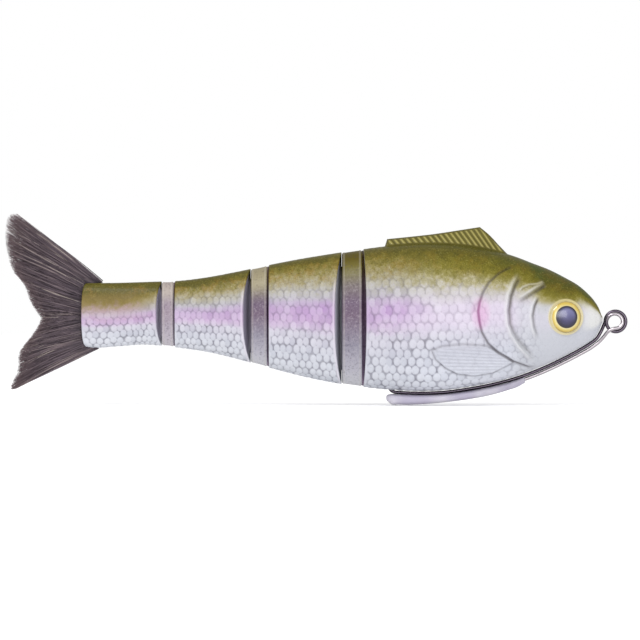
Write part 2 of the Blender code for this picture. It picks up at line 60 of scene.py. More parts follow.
# Body outline, the same design tables as the solids.
BACK_LINE = [
    (-183.0, 13.0), (-169.0, 13.2), (-156.7, 13.6), (-148.5, 13.9), (-140.3, 14.9), (-129.4, 16.9),
    (-118.5, 19.2), (-107.6, 21.3), (-96.7, 23.1), (-85.8, 24.7), (-75.0, 26.0), (-63.0, 26.6), (-50.0, 25.8),
    (-42.0, 24.3), (-33.9, 22.0), (-28.5, 19.9), (-23.0, 17.8), (-17.6, 15.1), (-12.1, 11.8), (-9.4, 9.4),
    (-7.2, 6.9), (-5.7, 4.4), (-4.8, 2.0),
]
BELLY_LINE = [
    (-183.0, -8.4), (-177.0, -8.9), (-169.0, -8.4), (-160.8, -7.9), (-156.7, -8.1), (-148.5, -9.0),
    (-140.3, -10.2), (-132.0, -12.0), (-124.0, -14.2), (-115.8, -16.4), (-107.6, -18.5), (-99.4, -20.3),
    (-91.2, -21.7), (-83.0, -22.7), (-74.8, -23.4), (-66.7, -23.7), (-58.5, -23.4), (-50.3, -22.3),
    (-42.1, -20.8), (-33.9, -18.6), (-25.7, -15.5), (-17.6, -11.8), (-13.5, -9.6), (-9.4, -7.3), (-7.2, -5.6),
    (-5.7, -3.1), (-4.8, -0.8),
]
HALF_WIDTH = [
    (-183.0, 3.5), (-170.0, 4.3), (-155.0, 5.3), (-140.0, 6.5), (-124.0, 7.9), (-108.0, 9.5), (-93.0, 11.0),
    (-80.0, 12.2), (-65.0, 13.0), (-50.0, 13.0), (-38.0, 12.3), (-28.0, 10.6), (-20.0, 8.7), (-14.0, 6.9),
    (-9.4, 5.2), (-6.8, 3.8), (-5.4, 2.7), (-4.8, 1.6),
]
# Exponents of the cross-section and of the cuts across it: lower is fuller.
SIDE_FULLNESS = 0.78
CROWN_FULLNESS = 0.92
EDGE_FULLNESS = 1.7
TAIL_EDGE_FULLNESS = 0.5

# The head's rear edge bulges and laps the first band, and the tail's rear edge is cut back at top and bottom.
HEAD_REAR_BULGE = 0.9
HEAD_REAR_LAP = 0.5
TAIL_CORNER = 2.0
# A tongue on the front wall of each section runs into a groove in the rear face of the band.
TONGUE = 0.9
TONGUE_GROOVE = 1.3
RIM_RADIUS = 0.35
WALL = 1.8
# Rows of a section's rear lip as (depth below the flank, distance forward), from the outside in.
REAR_LIP = [(RIM_RADIUS, 0.0), (0.5 * (RIM_RADIUS + WALL), 0.0), (WALL, 0.0), (WALL, 1.5), (WALL, 5.0)]
SEAM_HALF = 0.01

# Sections from rear face to the apex of the wedge-shaped front, and the slope of that wedge.
SECTIONS = {
    "head": {"rear": -84.6, "apex": None, "slope": 0.0, "rows": 300},
    "front_body": {"rear": -118.2, "apex": -93.45, "slope": 0.22, "rows": 96},
    "rear_body": {"rear": -150.2, "apex": -124.44, "slope": 0.33, "rows": 96},
    "tail_body": {"rear": -182.0, "apex": -154.74, "slope": 0.36, "rows": 100},
}
NOSE_X = -4.8
COLUMNS = 200
SLOT_FRONT_X = -172.4
SLOT_HALF = 1.1

# Hinge blocks: visible band from rear to front, plug in the section in front, and easing of the rear corner.
HINGES = {
    "front": {
        "rear": -93.3, "front": -86.6, "plug": -79.0, "mouth": -84.9, "pin": -90.0, "corner": 1.0,
        "body": "head",
    },
    "middle": {
        "rear": -124.3, "front": -118.8, "plug": -112.5, "mouth": -118.1, "pin": -121.4, "corner": 1.0,
        "body": "front_body",
    },
    "rear": {
        "rear": -154.6, "front": -150.6, "plug": -145.5, "mouth": -150.1, "pin": -152.2, "corner": 0.0,
        "body": "rear_body",
    },
}
BAND_RECESS = 0.3
BAND_COLUMNS = 220
GROOVE_SHALLOW = 0.45
PLUG_INSET = WALL + 0.3
POCKET_HALF = 2.4
POCKET_HEIGHT = 0.85
EYE_HEIGHT_SHARE = 0.27

# Relief lines on the flank as (x, z). Each ridge has its line, height and width.
GILL_LINE = [
    (-35.3, 18.8), (-40.1, 16.3), (-43.6, 13.2), (-45.7, 9.7), (-46.9, 6.2), (-47.3, 3.4), (-46.9, 0.0),
    (-46.1, -3.5), (-44.0, -7.3), (-40.5, -10.5), (-35.3, -13.4), (-30.0, -15.3), (-26.2, -15.2),
]
CHEEK_RIDGE = [
    (-32.9, 16.5), (-35.6, 12.4), (-37.0, 8.6), (-37.7, 3.8), (-37.3, -0.8), (-35.8, -4.5), (-33.2, -8.3),
    (-29.2, -12.4), (-26.9, -14.4),
]
CHEEK_ARC = [(-27.1, 8.8), (-28.8, 5.4), (-29.4, 1.8), (-28.8, -2.1), (-27.3, -6.4)]
TEMPLE_RIDGE = [(-24.4, 13.1), (-28.8, 10.4), (-34.1, 7.0)]
TEMPLE_ARC = [(-24.8, 13.3), (-27.4, 12.4), (-30.0, 12.3), (-32.2, 11.5), (-33.9, 9.6)]
RIDGES = [
    (CHEEK_RIDGE, 0.95, 1.15), (CHEEK_ARC, 0.6, 0.85), (TEMPLE_RIDGE, 0.85, 1.0), (TEMPLE_ARC, 0.3, 0.45),
]
PECTORAL_FIN = [
    (-63.1, -9.8), (-59.7, -8.4), (-52.7, -7.7), (-44.6, -8.2), (-38.0, -11.8), (-35.3, -13.9), (-42.3, -17.5),
    (-48.5, -18.5), (-54.4, -17.8), (-58.6, -15.7), (-61.7, -12.9),
]
FAN_ROOT_X = -36.0
FAN_ROOT_Z = -8.0

# Dorsal fin: its root's ends, its outline, its raised rays, and the grid of each side.
FIN_ROOT_REAR = -78.7
FIN_ROOT_FRONT = -36.3
FIN_SUNK = 1.2
FIN_TOP = [(-78.7, 25.6), (-77.9, 28.1), (-70.0, 28.9), (-62.0, 29.8), (-54.0, 31.0), (-46.3, 32.2)]
FIN_LEAD = [(-46.3, 32.2), (-43.2, 29.6), (-39.8, 26.0), (-36.3, 22.4)]
FIN_RAY_PITCH = 2.05
FIN_RAY_LEAN = 0.8
FIN_COLUMNS = 340
FIN_REAR_COLUMNS = 16
FIN_LEAD_COLUMNS = 72
FIN_ROWS = 60

# Eyes.
EYE_X = -17.6
EYE_Z = 1.5
EYE_RADIUS = 5.35
EYE_TILT_DEG = 13.0
EYE_SURFACE_Y = 7.3
EYE_RIM_RADIUS = 5.85
EYE_RINGS = 46
EYE_SECTORS = 120

# Scales: pitch along the body and between rows, each at the shoulder and at the tail, and size on the cheek.
SCALE_PITCH = (2.85, 2.375)
SCALE_ROW = (3.0, 2.2)
CHEEK_SCALE = 0.72
SCALE_JITTER = 0.26
SCALE_REACH = (0.5, 0.6)
SCALE_FROM_X = -70.0
SCALE_TO_X = -165.0

# Line-tie wire, drawn up against the belly, and the double turn of its eye.
WIRE_RADIUS = 0.6
WIRE_SIDES = 18
WIRE_STEPS = 900
UPPER_STRAND = [
    (-77.1, 0.0, -19.5), (-77.1, 0.0, -21.5), (-76.8, 0.0, -23.2), (-75.7, 0.0, -23.95), (-73.5, 0.0, -24.2),
    (-66.7, 0.0, -24.45), (-58.5, 0.0, -24.15), (-50.3, 0.0, -23.05), (-42.0, 0.0, -21.5), (-33.6, 0.0, -19.25),
    (-25.3, 0.0, -16.15), (-17.3, 0.0, -12.4), (-13.15, 0.0, -10.2), (-8.95, 0.0, -7.75), (-6.55, 0.1, -5.9),
    (-4.95, 0.35, -3.4), (-3.95, 0.8, -1.2),
]
LOWER_STRAND = [
    (-1.5, -0.9, -2.75), (-2.7, -0.7, -3.5), (-3.9, -0.35, -5.0), (-5.7, -0.1, -6.95), (-8.2, 0.0, -8.85),
    (-12.4, 0.0, -11.25), (-16.7, 0.0, -13.5), (-24.8, 0.0, -17.3), (-33.2, 0.0, -20.45), (-41.8, 0.0, -22.8),
    (-50.2, 0.0, -24.4), (-58.5, 0.0, -25.5),
]
COIL_LARGE_RADIUS = 3.5
COIL_SMALL_RADIUS = 2.3
COIL_HALF_DEPTH = 0.95
COIL_START_DEG = 180.0
COIL_TURN_DEG = 630.0
COIL_STEPS = 90

# Keel weight as (x, top z, bottom z, half width).
KEEL_STATIONS = [
    (-77.6, -24.9, -27.3, 1.9), (-76.9, -24.75, -28.0, 2.6), (-74.0, -24.8, -28.3, 3.1), (-66.0, -25.0, -28.2, 3.5),
    (-58.0, -24.7, -27.5, 3.5), (-50.0, -23.6, -26.5, 3.3), (-43.0, -22.3, -25.2, 2.9), (-37.0, -20.9, -23.5, 2.4),
    (-33.0, -19.6, -22.1, 1.9), (-31.5, -19.1, -21.2, 1.4),
]
KEEL_ROWS = 110
KEEL_COLUMNS = 72
# Rings that round off each end: share of the end's size and push along x.
KEEL_ENDS = [(0.93, 0.25), (0.8, 0.45), (0.55, 0.6), (0.25, 0.66), (0.03, 0.68)]

# Tail lobes: line of the roots and line of the tips, both from the notch outwards.
UPPER_ROOTS = [(-181.0, 0.2), (-181.0, 7.0), (-180.0, 12.0), (-176.9, 13.3), (-175.4, 13.5)]
UPPER_TIPS = [
    (-195.9, 0.9), (-199.4, 6.3), (-202.0, 12.8), (-205.5, 17.2), (-207.3, 22.7), (-208.2, 29.2), (-206.2, 36.6),
    (-204.4, 36.9),
]
LOWER_ROOTS = [(-181.0, 2.4), (-181.0, -3.5), (-180.0, -7.6), (-178.0, -8.7), (-176.4, -8.9)]
LOWER_TIPS = [
    (-195.9, 1.6), (-196.9, -1.2), (-199.4, -5.1), (-203.4, -10.7), (-204.0, -16.5), (-205.8, -23.2),
    (-204.6, -23.0),
]
HAIR_LINE_POINTS = 200
HAIR_STEPS = 11
HAIR_SIDES = 4

# Lamps and camera, in metres.
FLOOR_HALF_MM = 6000.0
FLOOR_GAP = 0.0004
LAMP_AIM = (-0.1, 0.0, 0.0)
CAMERA_PLACE = (-0.1008, -1.2124, 0.0005)
CAMERA_LENS = 200.0
CAMERA_SENSOR = 36.0


def linear(red, green, blue):
    """A colour given as 0 to 255 display values, as the reflectance that shows it in this light."""
    values = []
    for channel in (red, green, blue):
        c = channel / 255.0
        light = c / 12.92 if c <= 0.04045 else ((c + 0.055) / 1.055) ** 2.4
        values.append(PAINT_GAIN * light)
    return (*values, 1.0)


def smooth_reader(table):
    """Smooth curve through a table of (x, value) that rises in x."""
    xs = np.array([p[0] for p in table])
    ys = np.array([p[1] for p in table])
    slopes = np.gradient(ys, xs)

    def read(x):
        x = np.clip(x, xs[0], xs[-1])
        i = np.clip(np.searchsorted(xs, x) - 1, 0, len(xs) - 2)
        width = xs[i + 1] - xs[i]
        t = (x - xs[i]) / width
        h00 = 2 * t**3 - 3 * t**2 + 1
        h10 = t**3 - 2 * t**2 + t
        h01 = -2 * t**3 + 3 * t**2
        h11 = t**3 - t**2
        return h00 * ys[i] + h10 * width * slopes[i] + h01 * ys[i + 1] + h11 * width * slopes[i + 1]

    return read


back_z = smooth_reader(BACK_LINE)
belly_z = smooth_reader(BELLY_LINE)
half_width = smooth_reader(HALF_WIDTH)


def smoothstep(low, high, value):
    """Smooth 0 to 1 as value goes from low to high."""
    t = np.clip((value - low) / (high - low), 0.0, 1.0)
    return t * t * (3.0 - 2.0 * t)


def bell(offset, width):
    return np.exp(-((offset / width) ** 2))


def height_share(x, z):
    """0 at the belly line and 1 at the back line."""
    return (z - belly_z(x)) / (back_z(x) - belly_z(x))


def body_yz(x, angle, inset=0.0):
    """Flank y and z at x for an angle from +90 degrees at the back to -90 at the belly."""
    top = back_z(x) - inset
    bottom = belly_z(x) + inset
    middle = 0.5 * (top + bottom)
    reach = 0.5 * (top - bottom)
    across = np.clip(np.cos(angle), 0.0, 1.0)
    up = np.sin(angle)
    y = (half_width(x) - inset) * across**SIDE_FULLNESS
    z = middle + np.sign(up) * reach * np.abs(up) ** CROWN_FULLNESS
    return y, z


def polyline_distance(x, z, line):
    """Distance to a polyline, the side it lies on (+1 to the left of its direction), and the share along it."""
    best = np.full(x.shape, 1e9)
    side = np.ones(x.shape)
    share = np.zeros(x.shape)
    lengths = [math.dist(a, b) for a, b in zip(line, line[1:])]
    total = sum(lengths)
    run = 0.0
    for (x0, z0), (x1, z1), length in zip(line, line[1:], lengths):
        dx, dz = x1 - x0, z1 - z0
        t = np.clip(((x - x0) * dx + (z - z0) * dz) / (length * length), 0.0, 1.0)
        d = np.hypot(x - x0 - t * dx, z - z0 - t * dz)
        cross = dx * (z - z0) - dz * (x - x0)
        closer = d < best
        best = np.where(closer, d, best)
        side = np.where(closer, np.where(cross >= 0, 1.0, -1.0), side)
        share = np.where(closer, (run + t * length) / total, share)
        run += length
    return best, side, share


def resampled(line, count):
    """Points spread evenly along a smooth curve through a line of points."""
    points = np.array(line, float)
    steps = np.r_[0.0, np.cumsum(np.linalg.norm(np.diff(points, axis=0), axis=1))]
    reader = [smooth_reader(list(zip(steps, points[:, k]))) for k in range(points.shape[1])]
    places = np.linspace(0.0, steps[-1], count)
    return np.stack([r(places) for r in reader], axis=1)


def inside(x, z, outline):
    """True for points within a closed outline."""
    found = np.zeros(x.shape, bool)
    count = len(outline)
    for i in range(count):
        x0, z0 = outline[i]
        x1, z1 = outline[(i + 1) % count]
        crosses = (z0 > z) != (z1 > z)
        if z0 != z1:
            found ^= crosses & (x < (x1 - x0) * (z - z0) / (z1 - z0) + x0)
    return found

def cell_number(i, j, across, down, spread):
    """A fixed number from 0 to 1 for each cell, different from its neighbours'."""
    value = np.sin(i * across + j * down) * spread
    return value - np.floor(value)


def scale_cells(x, arc, on_cheek):
    """Staggered scales: height 0 to 1, outline 0 to 1 and a tone for each scale."""
    share = np.clip((SCALE_FROM_X - x) / (SCALE_FROM_X - SCALE_TO_X), 0.0, 1.0)
    pitch = SCALE_PITCH[0] + (SCALE_PITCH[1] - SCALE_PITCH[0]) * share
    row = SCALE_ROW[0] + (SCALE_ROW[1] - SCALE_ROW[0]) * share
    size = np.where(on_cheek, CHEEK_SCALE, 1.0)
    u = x / (pitch * size)
    v = arc / (row * size)
    best = np.full(x.shape, 9.0)
    tone = np.zeros(x.shape)
    for shift in (-1, 0, 1):
        j = np.round(v) + shift
        offset = 0.5 * np.mod(j, 2.0)
        i = np.round(u - offset)
        for step in (-1, 0, 1):
            k = i + step
            first = cell_number(k, j, 12.9898, 78.233, 43758.5453)
            second = cell_number(k, j, 39.346, 11.135, 24634.6345)
            du = (u - offset - k - SCALE_JITTER * (first - 0.5)) / SCALE_REACH[0]
            dv = (v - j - SCALE_JITTER * (second - 0.5)) / SCALE_REACH[1]
            d = np.sqrt(du * du + dv * dv)
            tone = np.where(d < best, first, tone)
            best = np.minimum(d, best)
    dome = np.clip(1.0 - best**2.6, 0.0, 1.0)
    return dome, smoothstep(0.79, 1.03, best), tone


def gill_relief(x, z):
    """Gill cover: height, the dark groove behind its edge, and the signed distance from that edge."""
    distance, side, share = polyline_distance(x, z, GILL_LINE)
    signed = distance * side
    on_line = smoothstep(0.0, 0.04, share) * smoothstep(1.0, 0.9, share)
    plate = 0.38 * np.exp(-np.clip(signed, 0.0, 99.0) / 2.2) * smoothstep(-0.2, 0.5, signed) * on_line
    groove = bell(signed + 0.1, 0.42) * on_line
    return plate - 0.35 * groove, groove, signed


def ridge_relief(x, z):
    """Ridges of cheek and temple: height, and the masks for a painted highlight along the crest and painted shade
    at the foot.
    """
    height = np.zeros(x.shape)
    light = np.zeros(x.shape)
    dark = np.zeros(x.shape)
    for line, tall, wide in RIDGES:
        distance, side, share = polyline_distance(x, z, line)
        across = distance * side / wide
        taper = smoothstep(0.0, 0.12, share) * smoothstep(1.0, 0.8, share)
        full = taper * (0.45 + 0.55 * smoothstep(0.75, 0.15, share))
        slope = np.where(across < -0.35, 1.3, 0.55) * (0.45 + 0.55 * full)
        height += tall * taper * (bell(across + 0.35, slope) - 0.6 * bell(across - 0.95, 0.55))
        light = np.maximum(light, bell(across + 0.45, 0.65) * taper)
        dark = np.maximum(dark, bell(across - 0.75, 0.45) * full * min(1.0, tall / 0.6))
    return height, light, dark


def fin_relief(x, z):
    """Pectoral fin on the flank: height, its area, its rays and its outline."""
    on_fin = inside(x, z, PECTORAL_FIN)
    edge, _, _ = polyline_distance(x, z, PECTORAL_FIN + PECTORAL_FIN[:1])
    area = np.where(on_fin, smoothstep(0.0, 0.5, edge), 0.0)
    ray_pitch = 0.9 + 0.012 * (FAN_ROOT_X - x)
    fan = np.sin(2.0 * PI * (z - FAN_ROOT_Z + 0.1 * (x - FAN_ROOT_X)) / ray_pitch)
    within = area * smoothstep(0.3, 1.2, edge)
    height = 0.42 * area + 0.1 * within * fan - 0.22 * bell(edge, 0.4) * np.where(on_fin, 0.0, 1.0)
    return height, area, within * (0.5 + 0.5 * fan), bell(edge, 0.36)


def scaled_share(x, z, gill_distance, fin_area, painted_ridge_highlight):
    """How strongly the scales show: not on the snout, and weaker on fin, ridges, cheek, back and tail."""
    up = height_share(x, z)
    shown = (1.0 - 0.8 * fin_area) * (1.0 - 0.9 * smoothstep(-30.0, -25.0, x))
    shown = shown * (1.0 - painted_ridge_highlight) * smoothstep(0.25, 0.9, gill_distance)
    shown = shown * (1.0 - 0.25 * smoothstep(-66.0, -54.0, x)) * (1.0 - 0.35 * smoothstep(-47.5, -44.5, x))
    shown = shown * (1.0 - 0.7 * smoothstep(0.74, 0.9, up))
    return shown * (1.0 - 0.85 * smoothstep(0.46, 0.6, up) * smoothstep(-152.0, -162.0, x))


def flank_relief(x, z, arc):
    """Height of the moulded relief and the masks that the paint follows."""
    gill_height, gill_groove, gill = gill_relief(x, z)
    ridge_height, painted_ridge_highlight, painted_ridge_shade = ridge_relief(x, z)
    fin_height, fin_area, fin_rays, fin_line = fin_relief(x, z)
    scaled = scaled_share(x, z, np.abs(gill), fin_area, painted_ridge_highlight)
    dome, outline, tone = scale_cells(x, arc, gill > 0.0)
    eye = np.hypot(x - EYE_X, z - EYE_Z)
    height = gill_height + ridge_height + fin_height
    height = height + 0.4 * bell(eye - EYE_RIM_RADIUS, 0.42) + 0.16 * (dome - 0.6) * scaled
    masks = {
        "scale_line": outline * scaled,
        "scale_tone": tone,
        "scaled": scaled,
        "groove": np.clip(gill_groove + 0.55 * fin_line, 0.0, 1.0),
        "painted_ridge_highlight": painted_ridge_highlight,
        "painted_ridge_shade": painted_ridge_shade,
        "fin_rays": fin_rays,
        "eye_rim": smoothstep(EYE_RIM_RADIUS + 0.5, EYE_RIM_RADIUS - 0.1, eye),
    }
    return height, masks


def mesh_object(name, points, faces, attributes=None, smooth=True):
    """Object from points in millimetres, faces, and number attributes for each point."""
    mesh = bpy.data.meshes.new(name)
    mesh.from_pydata((np.asarray(points) * MM).tolist(), [], [tuple(f) for f in faces])
    for key, values in (attributes or {}).items():
        layer = mesh.attributes.new(key, "FLOAT", "POINT")
        layer.data.foreach_set("value", np.asarray(values, np.float32).ravel())
    if smooth:
        mesh.polygons.foreach_set("use_smooth", np.ones(len(mesh.polygons), bool))
    mesh.update()
    item = bpy.data.objects.new(name, mesh)
    bpy.context.scene.collection.objects.link(item)
    return item


def grid_faces(rows, columns, wrap=False, flip=False, first=0):
    """Faces of a grid of points stored row by row."""
    r = np.arange(rows - 1)[:, None]
    last = columns if wrap else columns - 1
    c = np.arange(last)[None, :]
    a = r * columns + c
    b = r * columns + (c + 1) % columns
    d = (r + 1) * columns + c
    e = (r + 1) * columns + (c + 1) % columns
    quads = np.stack([a, b, e, d] if not flip else [a, d, e, b], axis=-1).reshape(-1, 4)
    return (quads + first).tolist()


def closed_faces(rows, columns, flip=True):
    """Faces of a tube of rings, with both ends closed."""
    first = tuple(range(columns))
    last = tuple(reversed(range((rows - 1) * columns, rows * columns)))
    if not flip:
        first, last = first[::-1], last[::-1]
    return grid_faces(rows, columns, wrap=True, flip=flip) + [first, last]


def grid_normals(grid):
    """Unit normal at each point of a grid."""
    along = np.gradient(grid, axis=0)
    across = np.gradient(grid, axis=1)
    normal = np.cross(along, across)
    return normal / np.maximum(np.linalg.norm(normal, axis=2, keepdims=True), 1e-9)


def wedge_front(apex, slope, angle):
    """x of a section's front edge for each angle, where the wedge meets the flank."""
    x = np.full(angle.shape, apex)
    for _ in range(30):
        bulge = half_width(x) * np.clip(np.cos(angle), 0.0, 1.0) ** EDGE_FULLNESS
        x = apex - slope * bulge
    return x

def section_edges(label, spec, angle):
    """x of a section's rear and front edge for each angle."""
    sideways = np.clip(np.cos(angle), 0.0, 1.0)
    rear = np.full(angle.shape, spec["rear"])
    if label == "head":
        rear = rear - HEAD_REAR_LAP - HEAD_REAR_BULGE * (1.0 - sideways**EDGE_FULLNESS)
        return rear, np.full(angle.shape, NOSE_X)
    if label == "tail_body":
        rear = rear + TAIL_CORNER * (1.0 - sideways**TAIL_EDGE_FULLNESS)
    return rear, wedge_front(spec["apex"], spec["slope"], angle)


def rim_inset(angle, rear_gap, front_gap):
    """How far the flank is drawn in to round its edges, from the distances to them."""
    nearest = np.minimum(rear_gap, front_gap)
    fall = np.clip(RIM_RADIUS - nearest, 0.0, RIM_RADIUS)
    rim = RIM_RADIUS * (0.3 + 0.7 * np.clip(np.cos(angle), 0.0, 1.0))
    fall = np.clip(fall - (RIM_RADIUS - rim), 0.0, rim)
    return rim - np.sqrt(np.maximum(rim**2 - fall**2, 0.0))


def flank(label, spec, angle):
    """Outer surface of half a section with its relief, and the values that the paint follows."""
    rear, front = section_edges(label, spec, angle)
    x = rear + (front - rear) * np.linspace(0.0, 1.0, spec["rows"])[:, None]
    is_head = label == "head"
    inset = rim_inset(angle, x - rear, np.inf if is_head else front - x)
    y, z = body_yz(x, angle, inset)
    flat = np.stack([x, y, z], axis=2)
    middle = COLUMNS // 2
    normal = grid_normals(flat)
    normal = normal * np.sign(normal[:, middle, 1])[:, None, None]
    normal[:, (0, -1), 1] = 0.0
    steps = np.linalg.norm(np.diff(flat[:, :, 1:], axis=1), axis=2)
    arc = np.concatenate([np.zeros((len(x), 1)), np.cumsum(steps, axis=1)], axis=1)
    height, values = flank_relief(x, z, arc - arc[:, middle, None])
    fade = smoothstep(0.2, 1.2, x - rear)
    fade = fade * (smoothstep(0.5, 3.0, front - x) if is_head else smoothstep(0.2, 1.2, front - x))
    skin = flat + normal * (height * fade)[:, :, None]
    if label == "tail_body":
        slotted = np.maximum(skin[:, :, 1], SLOT_HALF)
        skin[:, :, 1] = np.where(skin[:, :, 0] < SLOT_FRONT_X, slotted, skin[:, :, 1])
    values["scale_line"] = values["scale_line"] * fade
    # Painted highlight along the rounded front edge of each section, and a faint one along the head's rear edge.
    values["rim"] = 0.25 * bell(x - rear - 0.45, 0.4) if is_head else bell(front - x - 0.45, 0.4)
    values["band"] = height_share(x, z)
    values["inner"] = np.zeros(x.shape)
    return skin, values, rear


def front_wall(spec, edge):
    """Rows that close a section in front of its edge: a rounded nose, or a wedge wall with its tongue."""
    centre_z = 0.5 * (edge[0, 2] + edge[-1, 2])
    shares = np.linspace(0.975, 0.0, 26)[:, None] ** 1.5
    y = edge[:, 1] * shares
    z = centre_z + (edge[:, 2] - centre_z) * shares
    if spec["apex"] is None:
        x = NOSE_X + 0.35 * np.sqrt(1.0 - shares**2) * np.ones(COLUMNS)
    else:
        high = np.abs(z - centre_z) / (0.5 * (edge[0, 2] - edge[-1, 2]))
        tongue = smoothstep(2.2, 1.2, y) * smoothstep(0.8, 0.68, high)
        x = spec["apex"] - spec["slope"] * y + TONGUE * tongue
    return np.stack([x, y, z], axis=2)


def rear_lip(rear, angle):
    """Rows from inside the hollow out to the flank's rear edge."""
    rows = []
    for depth, forward in reversed(REAR_LIP):
        y, z = body_yz(rear + forward, angle, depth)
        rows.append(np.stack([rear + forward, np.maximum(y, 0.0), z], axis=1))
    return np.array(rows)


def section_skin(label, spec, side):
    """One half of a section from its rear lip to its front wall, with values for the paint."""
    angle = PI * (0.5 - np.linspace(0.0, 1.0, COLUMNS))
    skin, values, rear = flank(label, spec, angle)
    lip = rear_lip(rear, angle)
    wall = front_wall(spec, skin[-1])
    grid = np.concatenate([lip, skin, wall])
    grid[:, :, 1] = np.maximum(grid[:, :, 1], SEAM_HALF) * side
    # Towards top and bottom the front wall keeps the flank's paint, so the wall colour fades out there.
    walled = 0.0 if label == "head" else smoothstep(0.05, 0.45, np.cos(angle))
    ends = {"band": (0.0, values["band"][-1]), "inner": (1.0, walled)}
    for key, value in values.items():
        on_lip, on_wall = ends.get(key, (0.0, 0.0))
        rows = [np.full(lip.shape[:2], on_lip), value, np.broadcast_to(on_wall, wall.shape[:2])]
        values[key] = np.concatenate(rows).ravel()
    return grid.reshape(-1, 3), grid_faces(len(grid), COLUMNS, flip=side > 0), values


def dorsal_fin():
    """Fin moulded in one with the head: two sides with raised slanting rays."""
    rise = resampled(FIN_TOP[:2], FIN_REAR_COLUMNS)
    top = resampled(FIN_TOP[1:], FIN_COLUMNS - FIN_REAR_COLUMNS - FIN_LEAD_COLUMNS + 2)
    lead = resampled(FIN_LEAD, FIN_LEAD_COLUMNS)
    edge = np.concatenate([rise, top[1:], lead[1:]])
    base_x = np.linspace(FIN_ROOT_REAR, FIN_ROOT_FRONT, FIN_COLUMNS)[:, None]
    base_z = back_z(base_x) - FIN_SUNK
    t = np.linspace(0.0, 1.0, FIN_ROWS)
    x = base_x + (edge[:, :1] - base_x) * t
    z = base_z + (edge[:, 1:] - base_z) * t
    above = z - back_z(x)
    tall = np.maximum(edge[:, 1:] - base_z, 0.5)
    rim, _, _ = polyline_distance(x, z, FIN_TOP + FIN_LEAD[1:])
    ray = (0.5 + 0.5 * np.cos(2.0 * PI * (x + FIN_RAY_LEAN * above) / FIN_RAY_PITCH)) ** 1.6
    ray = ray * smoothstep(0.1, 0.6, above) * smoothstep(0.25, 0.7, rim)
    thick = 1.45 - 0.75 * smoothstep(0.0, 5.0, above) + 3.2 * np.exp(-(above + FIN_SUNK) / 0.9) + 0.3 * ray
    thick = thick * np.sqrt(np.clip(rim / 0.5, 0.0, 1.0)) * 0.98 + 0.02
    points = [np.stack([x, side * thick, z], axis=2).reshape(-1, 3) for side in (-1.0, 1.0)]
    size = FIN_COLUMNS * FIN_ROWS
    faces = grid_faces(FIN_COLUMNS, FIN_ROWS) + grid_faces(FIN_COLUMNS, FIN_ROWS, flip=True, first=size)
    border = range(FIN_ROWS - 1, size, FIN_ROWS)
    faces += [(b, a, a + size, b + size) for a, b in zip(border, border[1:])]
    values = {"ray": ray, "lift": above / tall, "edge": smoothstep(0.9, 0.2, rim)}
    values = {key: np.tile(value.ravel(), 2) for key, value in values.items()}
    return mesh_object("dorsal_fin", np.concatenate(points), faces, values)


def band_places(spec):
    """Rows of a hinge block as (x, inset below the flank, easing of the corner). None stands for the groove."""
    rear, front, ease = spec["rear"], spec["front"], spec["corner"]
    places = [
        (rear, 0.75, 1.1 * ease), (rear + 0.02, 0.55, 0.75 * ease), (rear + 0.1, 0.42, 0.45 * ease),
        (rear + 0.28, 0.34, 0.18 * ease),
    ]
    places += [(x, BAND_RECESS, 0.0) for x in np.linspace(rear + 0.45, front - 0.45, 26)]
    places += [(front - 0.28, 0.38, 0.0), (front - 0.1, 0.5, 0.0), (front, 0.6, 0.0)]
    places += [(front + 0.03, None, 0.0), (spec["mouth"] - 0.15, None, 0.0)]
    return places + [(x, PLUG_INSET, 0.0) for x in np.linspace(spec["mouth"], spec["plug"], 6)]


def shrunk(ring, share):
    """A ring drawn in towards the middle of its height."""
    centre_z = 0.5 * (ring[:, 2].max() + ring[:, 2].min())
    return np.stack([ring[:, 0], ring[:, 1] * share, centre_z + (ring[:, 2] - centre_z) * share], axis=1)


def band_rear_ring(back, share):
    """A ring of the block's rear face, with the groove that takes the tongue of the section behind."""
    ring = shrunk(back, share)
    top, bottom = back[:, 2].max(), back[:, 2].min()
    high = np.abs(ring[:, 2] - 0.5 * (top + bottom)) / (0.5 * (top - bottom))
    ring[:, 0] += TONGUE_GROOVE * smoothstep(3.4, 2.4, np.abs(ring[:, 1])) * smoothstep(0.88, 0.78, high)
    return ring


def hinge_band(label, spec):
    """Closed hinge block: recessed band with a fine lip along both edges, and the plug in front of it."""
    angle = PI * (0.5 - np.linspace(0.0, 2.0, BAND_COLUMNS, endpoint=False))
    folded = np.arcsin(np.clip(np.sin(angle), -1.0, 1.0))
    flank_side = np.where(np.cos(angle) >= 0, 1.0, -1.0)
    groove = GROOVE_SHALLOW + (PLUG_INSET - GROOVE_SHALLOW) * smoothstep(0.25, 0.85, np.cos(folded))
    rows = []
    for x, inset, eased in band_places(spec):
        lip = bell(x - spec["rear"] - 0.62, 0.24) + bell(spec["front"] - x - 0.62, 0.24)
        y, z = body_yz(x, folded, (groove if inset is None else inset) - 0.1 * lip)
        y = np.maximum(y - eased, 0.15 * y) * flank_side
        ring = np.stack([np.full(BAND_COLUMNS, x), y, z], axis=1)
        # The last value of each row is the share of painted shade: full in the groove and on the plug, a quarter on
        # the rear face.
        rows.append((ring, lip, height_share(x, z), 1.0 if x > spec["front"] else 0.0))
    back, _, back_share, _ = rows[0]
    plug, _, plug_share, _ = rows[-1]
    rear_face = [(band_rear_ring(back, share), 0.0, back_share, 0.25) for share in np.linspace(0.02, 0.96, 22)]
    plug_end = [(shrunk(plug, share), 0.0, plug_share, 1.0) for share in (0.7, 0.35, 0.02)]
    rows = rear_face + rows + plug_end
    values = {}
    for k, key in enumerate(("lip", "band", "painted_gap_shade"), 1):
        values[key] = np.concatenate([np.broadcast_to(row[k], BAND_COLUMNS) for row in rows])
    points = np.concatenate([row[0] for row in rows])
    return mesh_object(label + "_hinge_band", points, closed_faces(len(rows), BAND_COLUMNS), values)


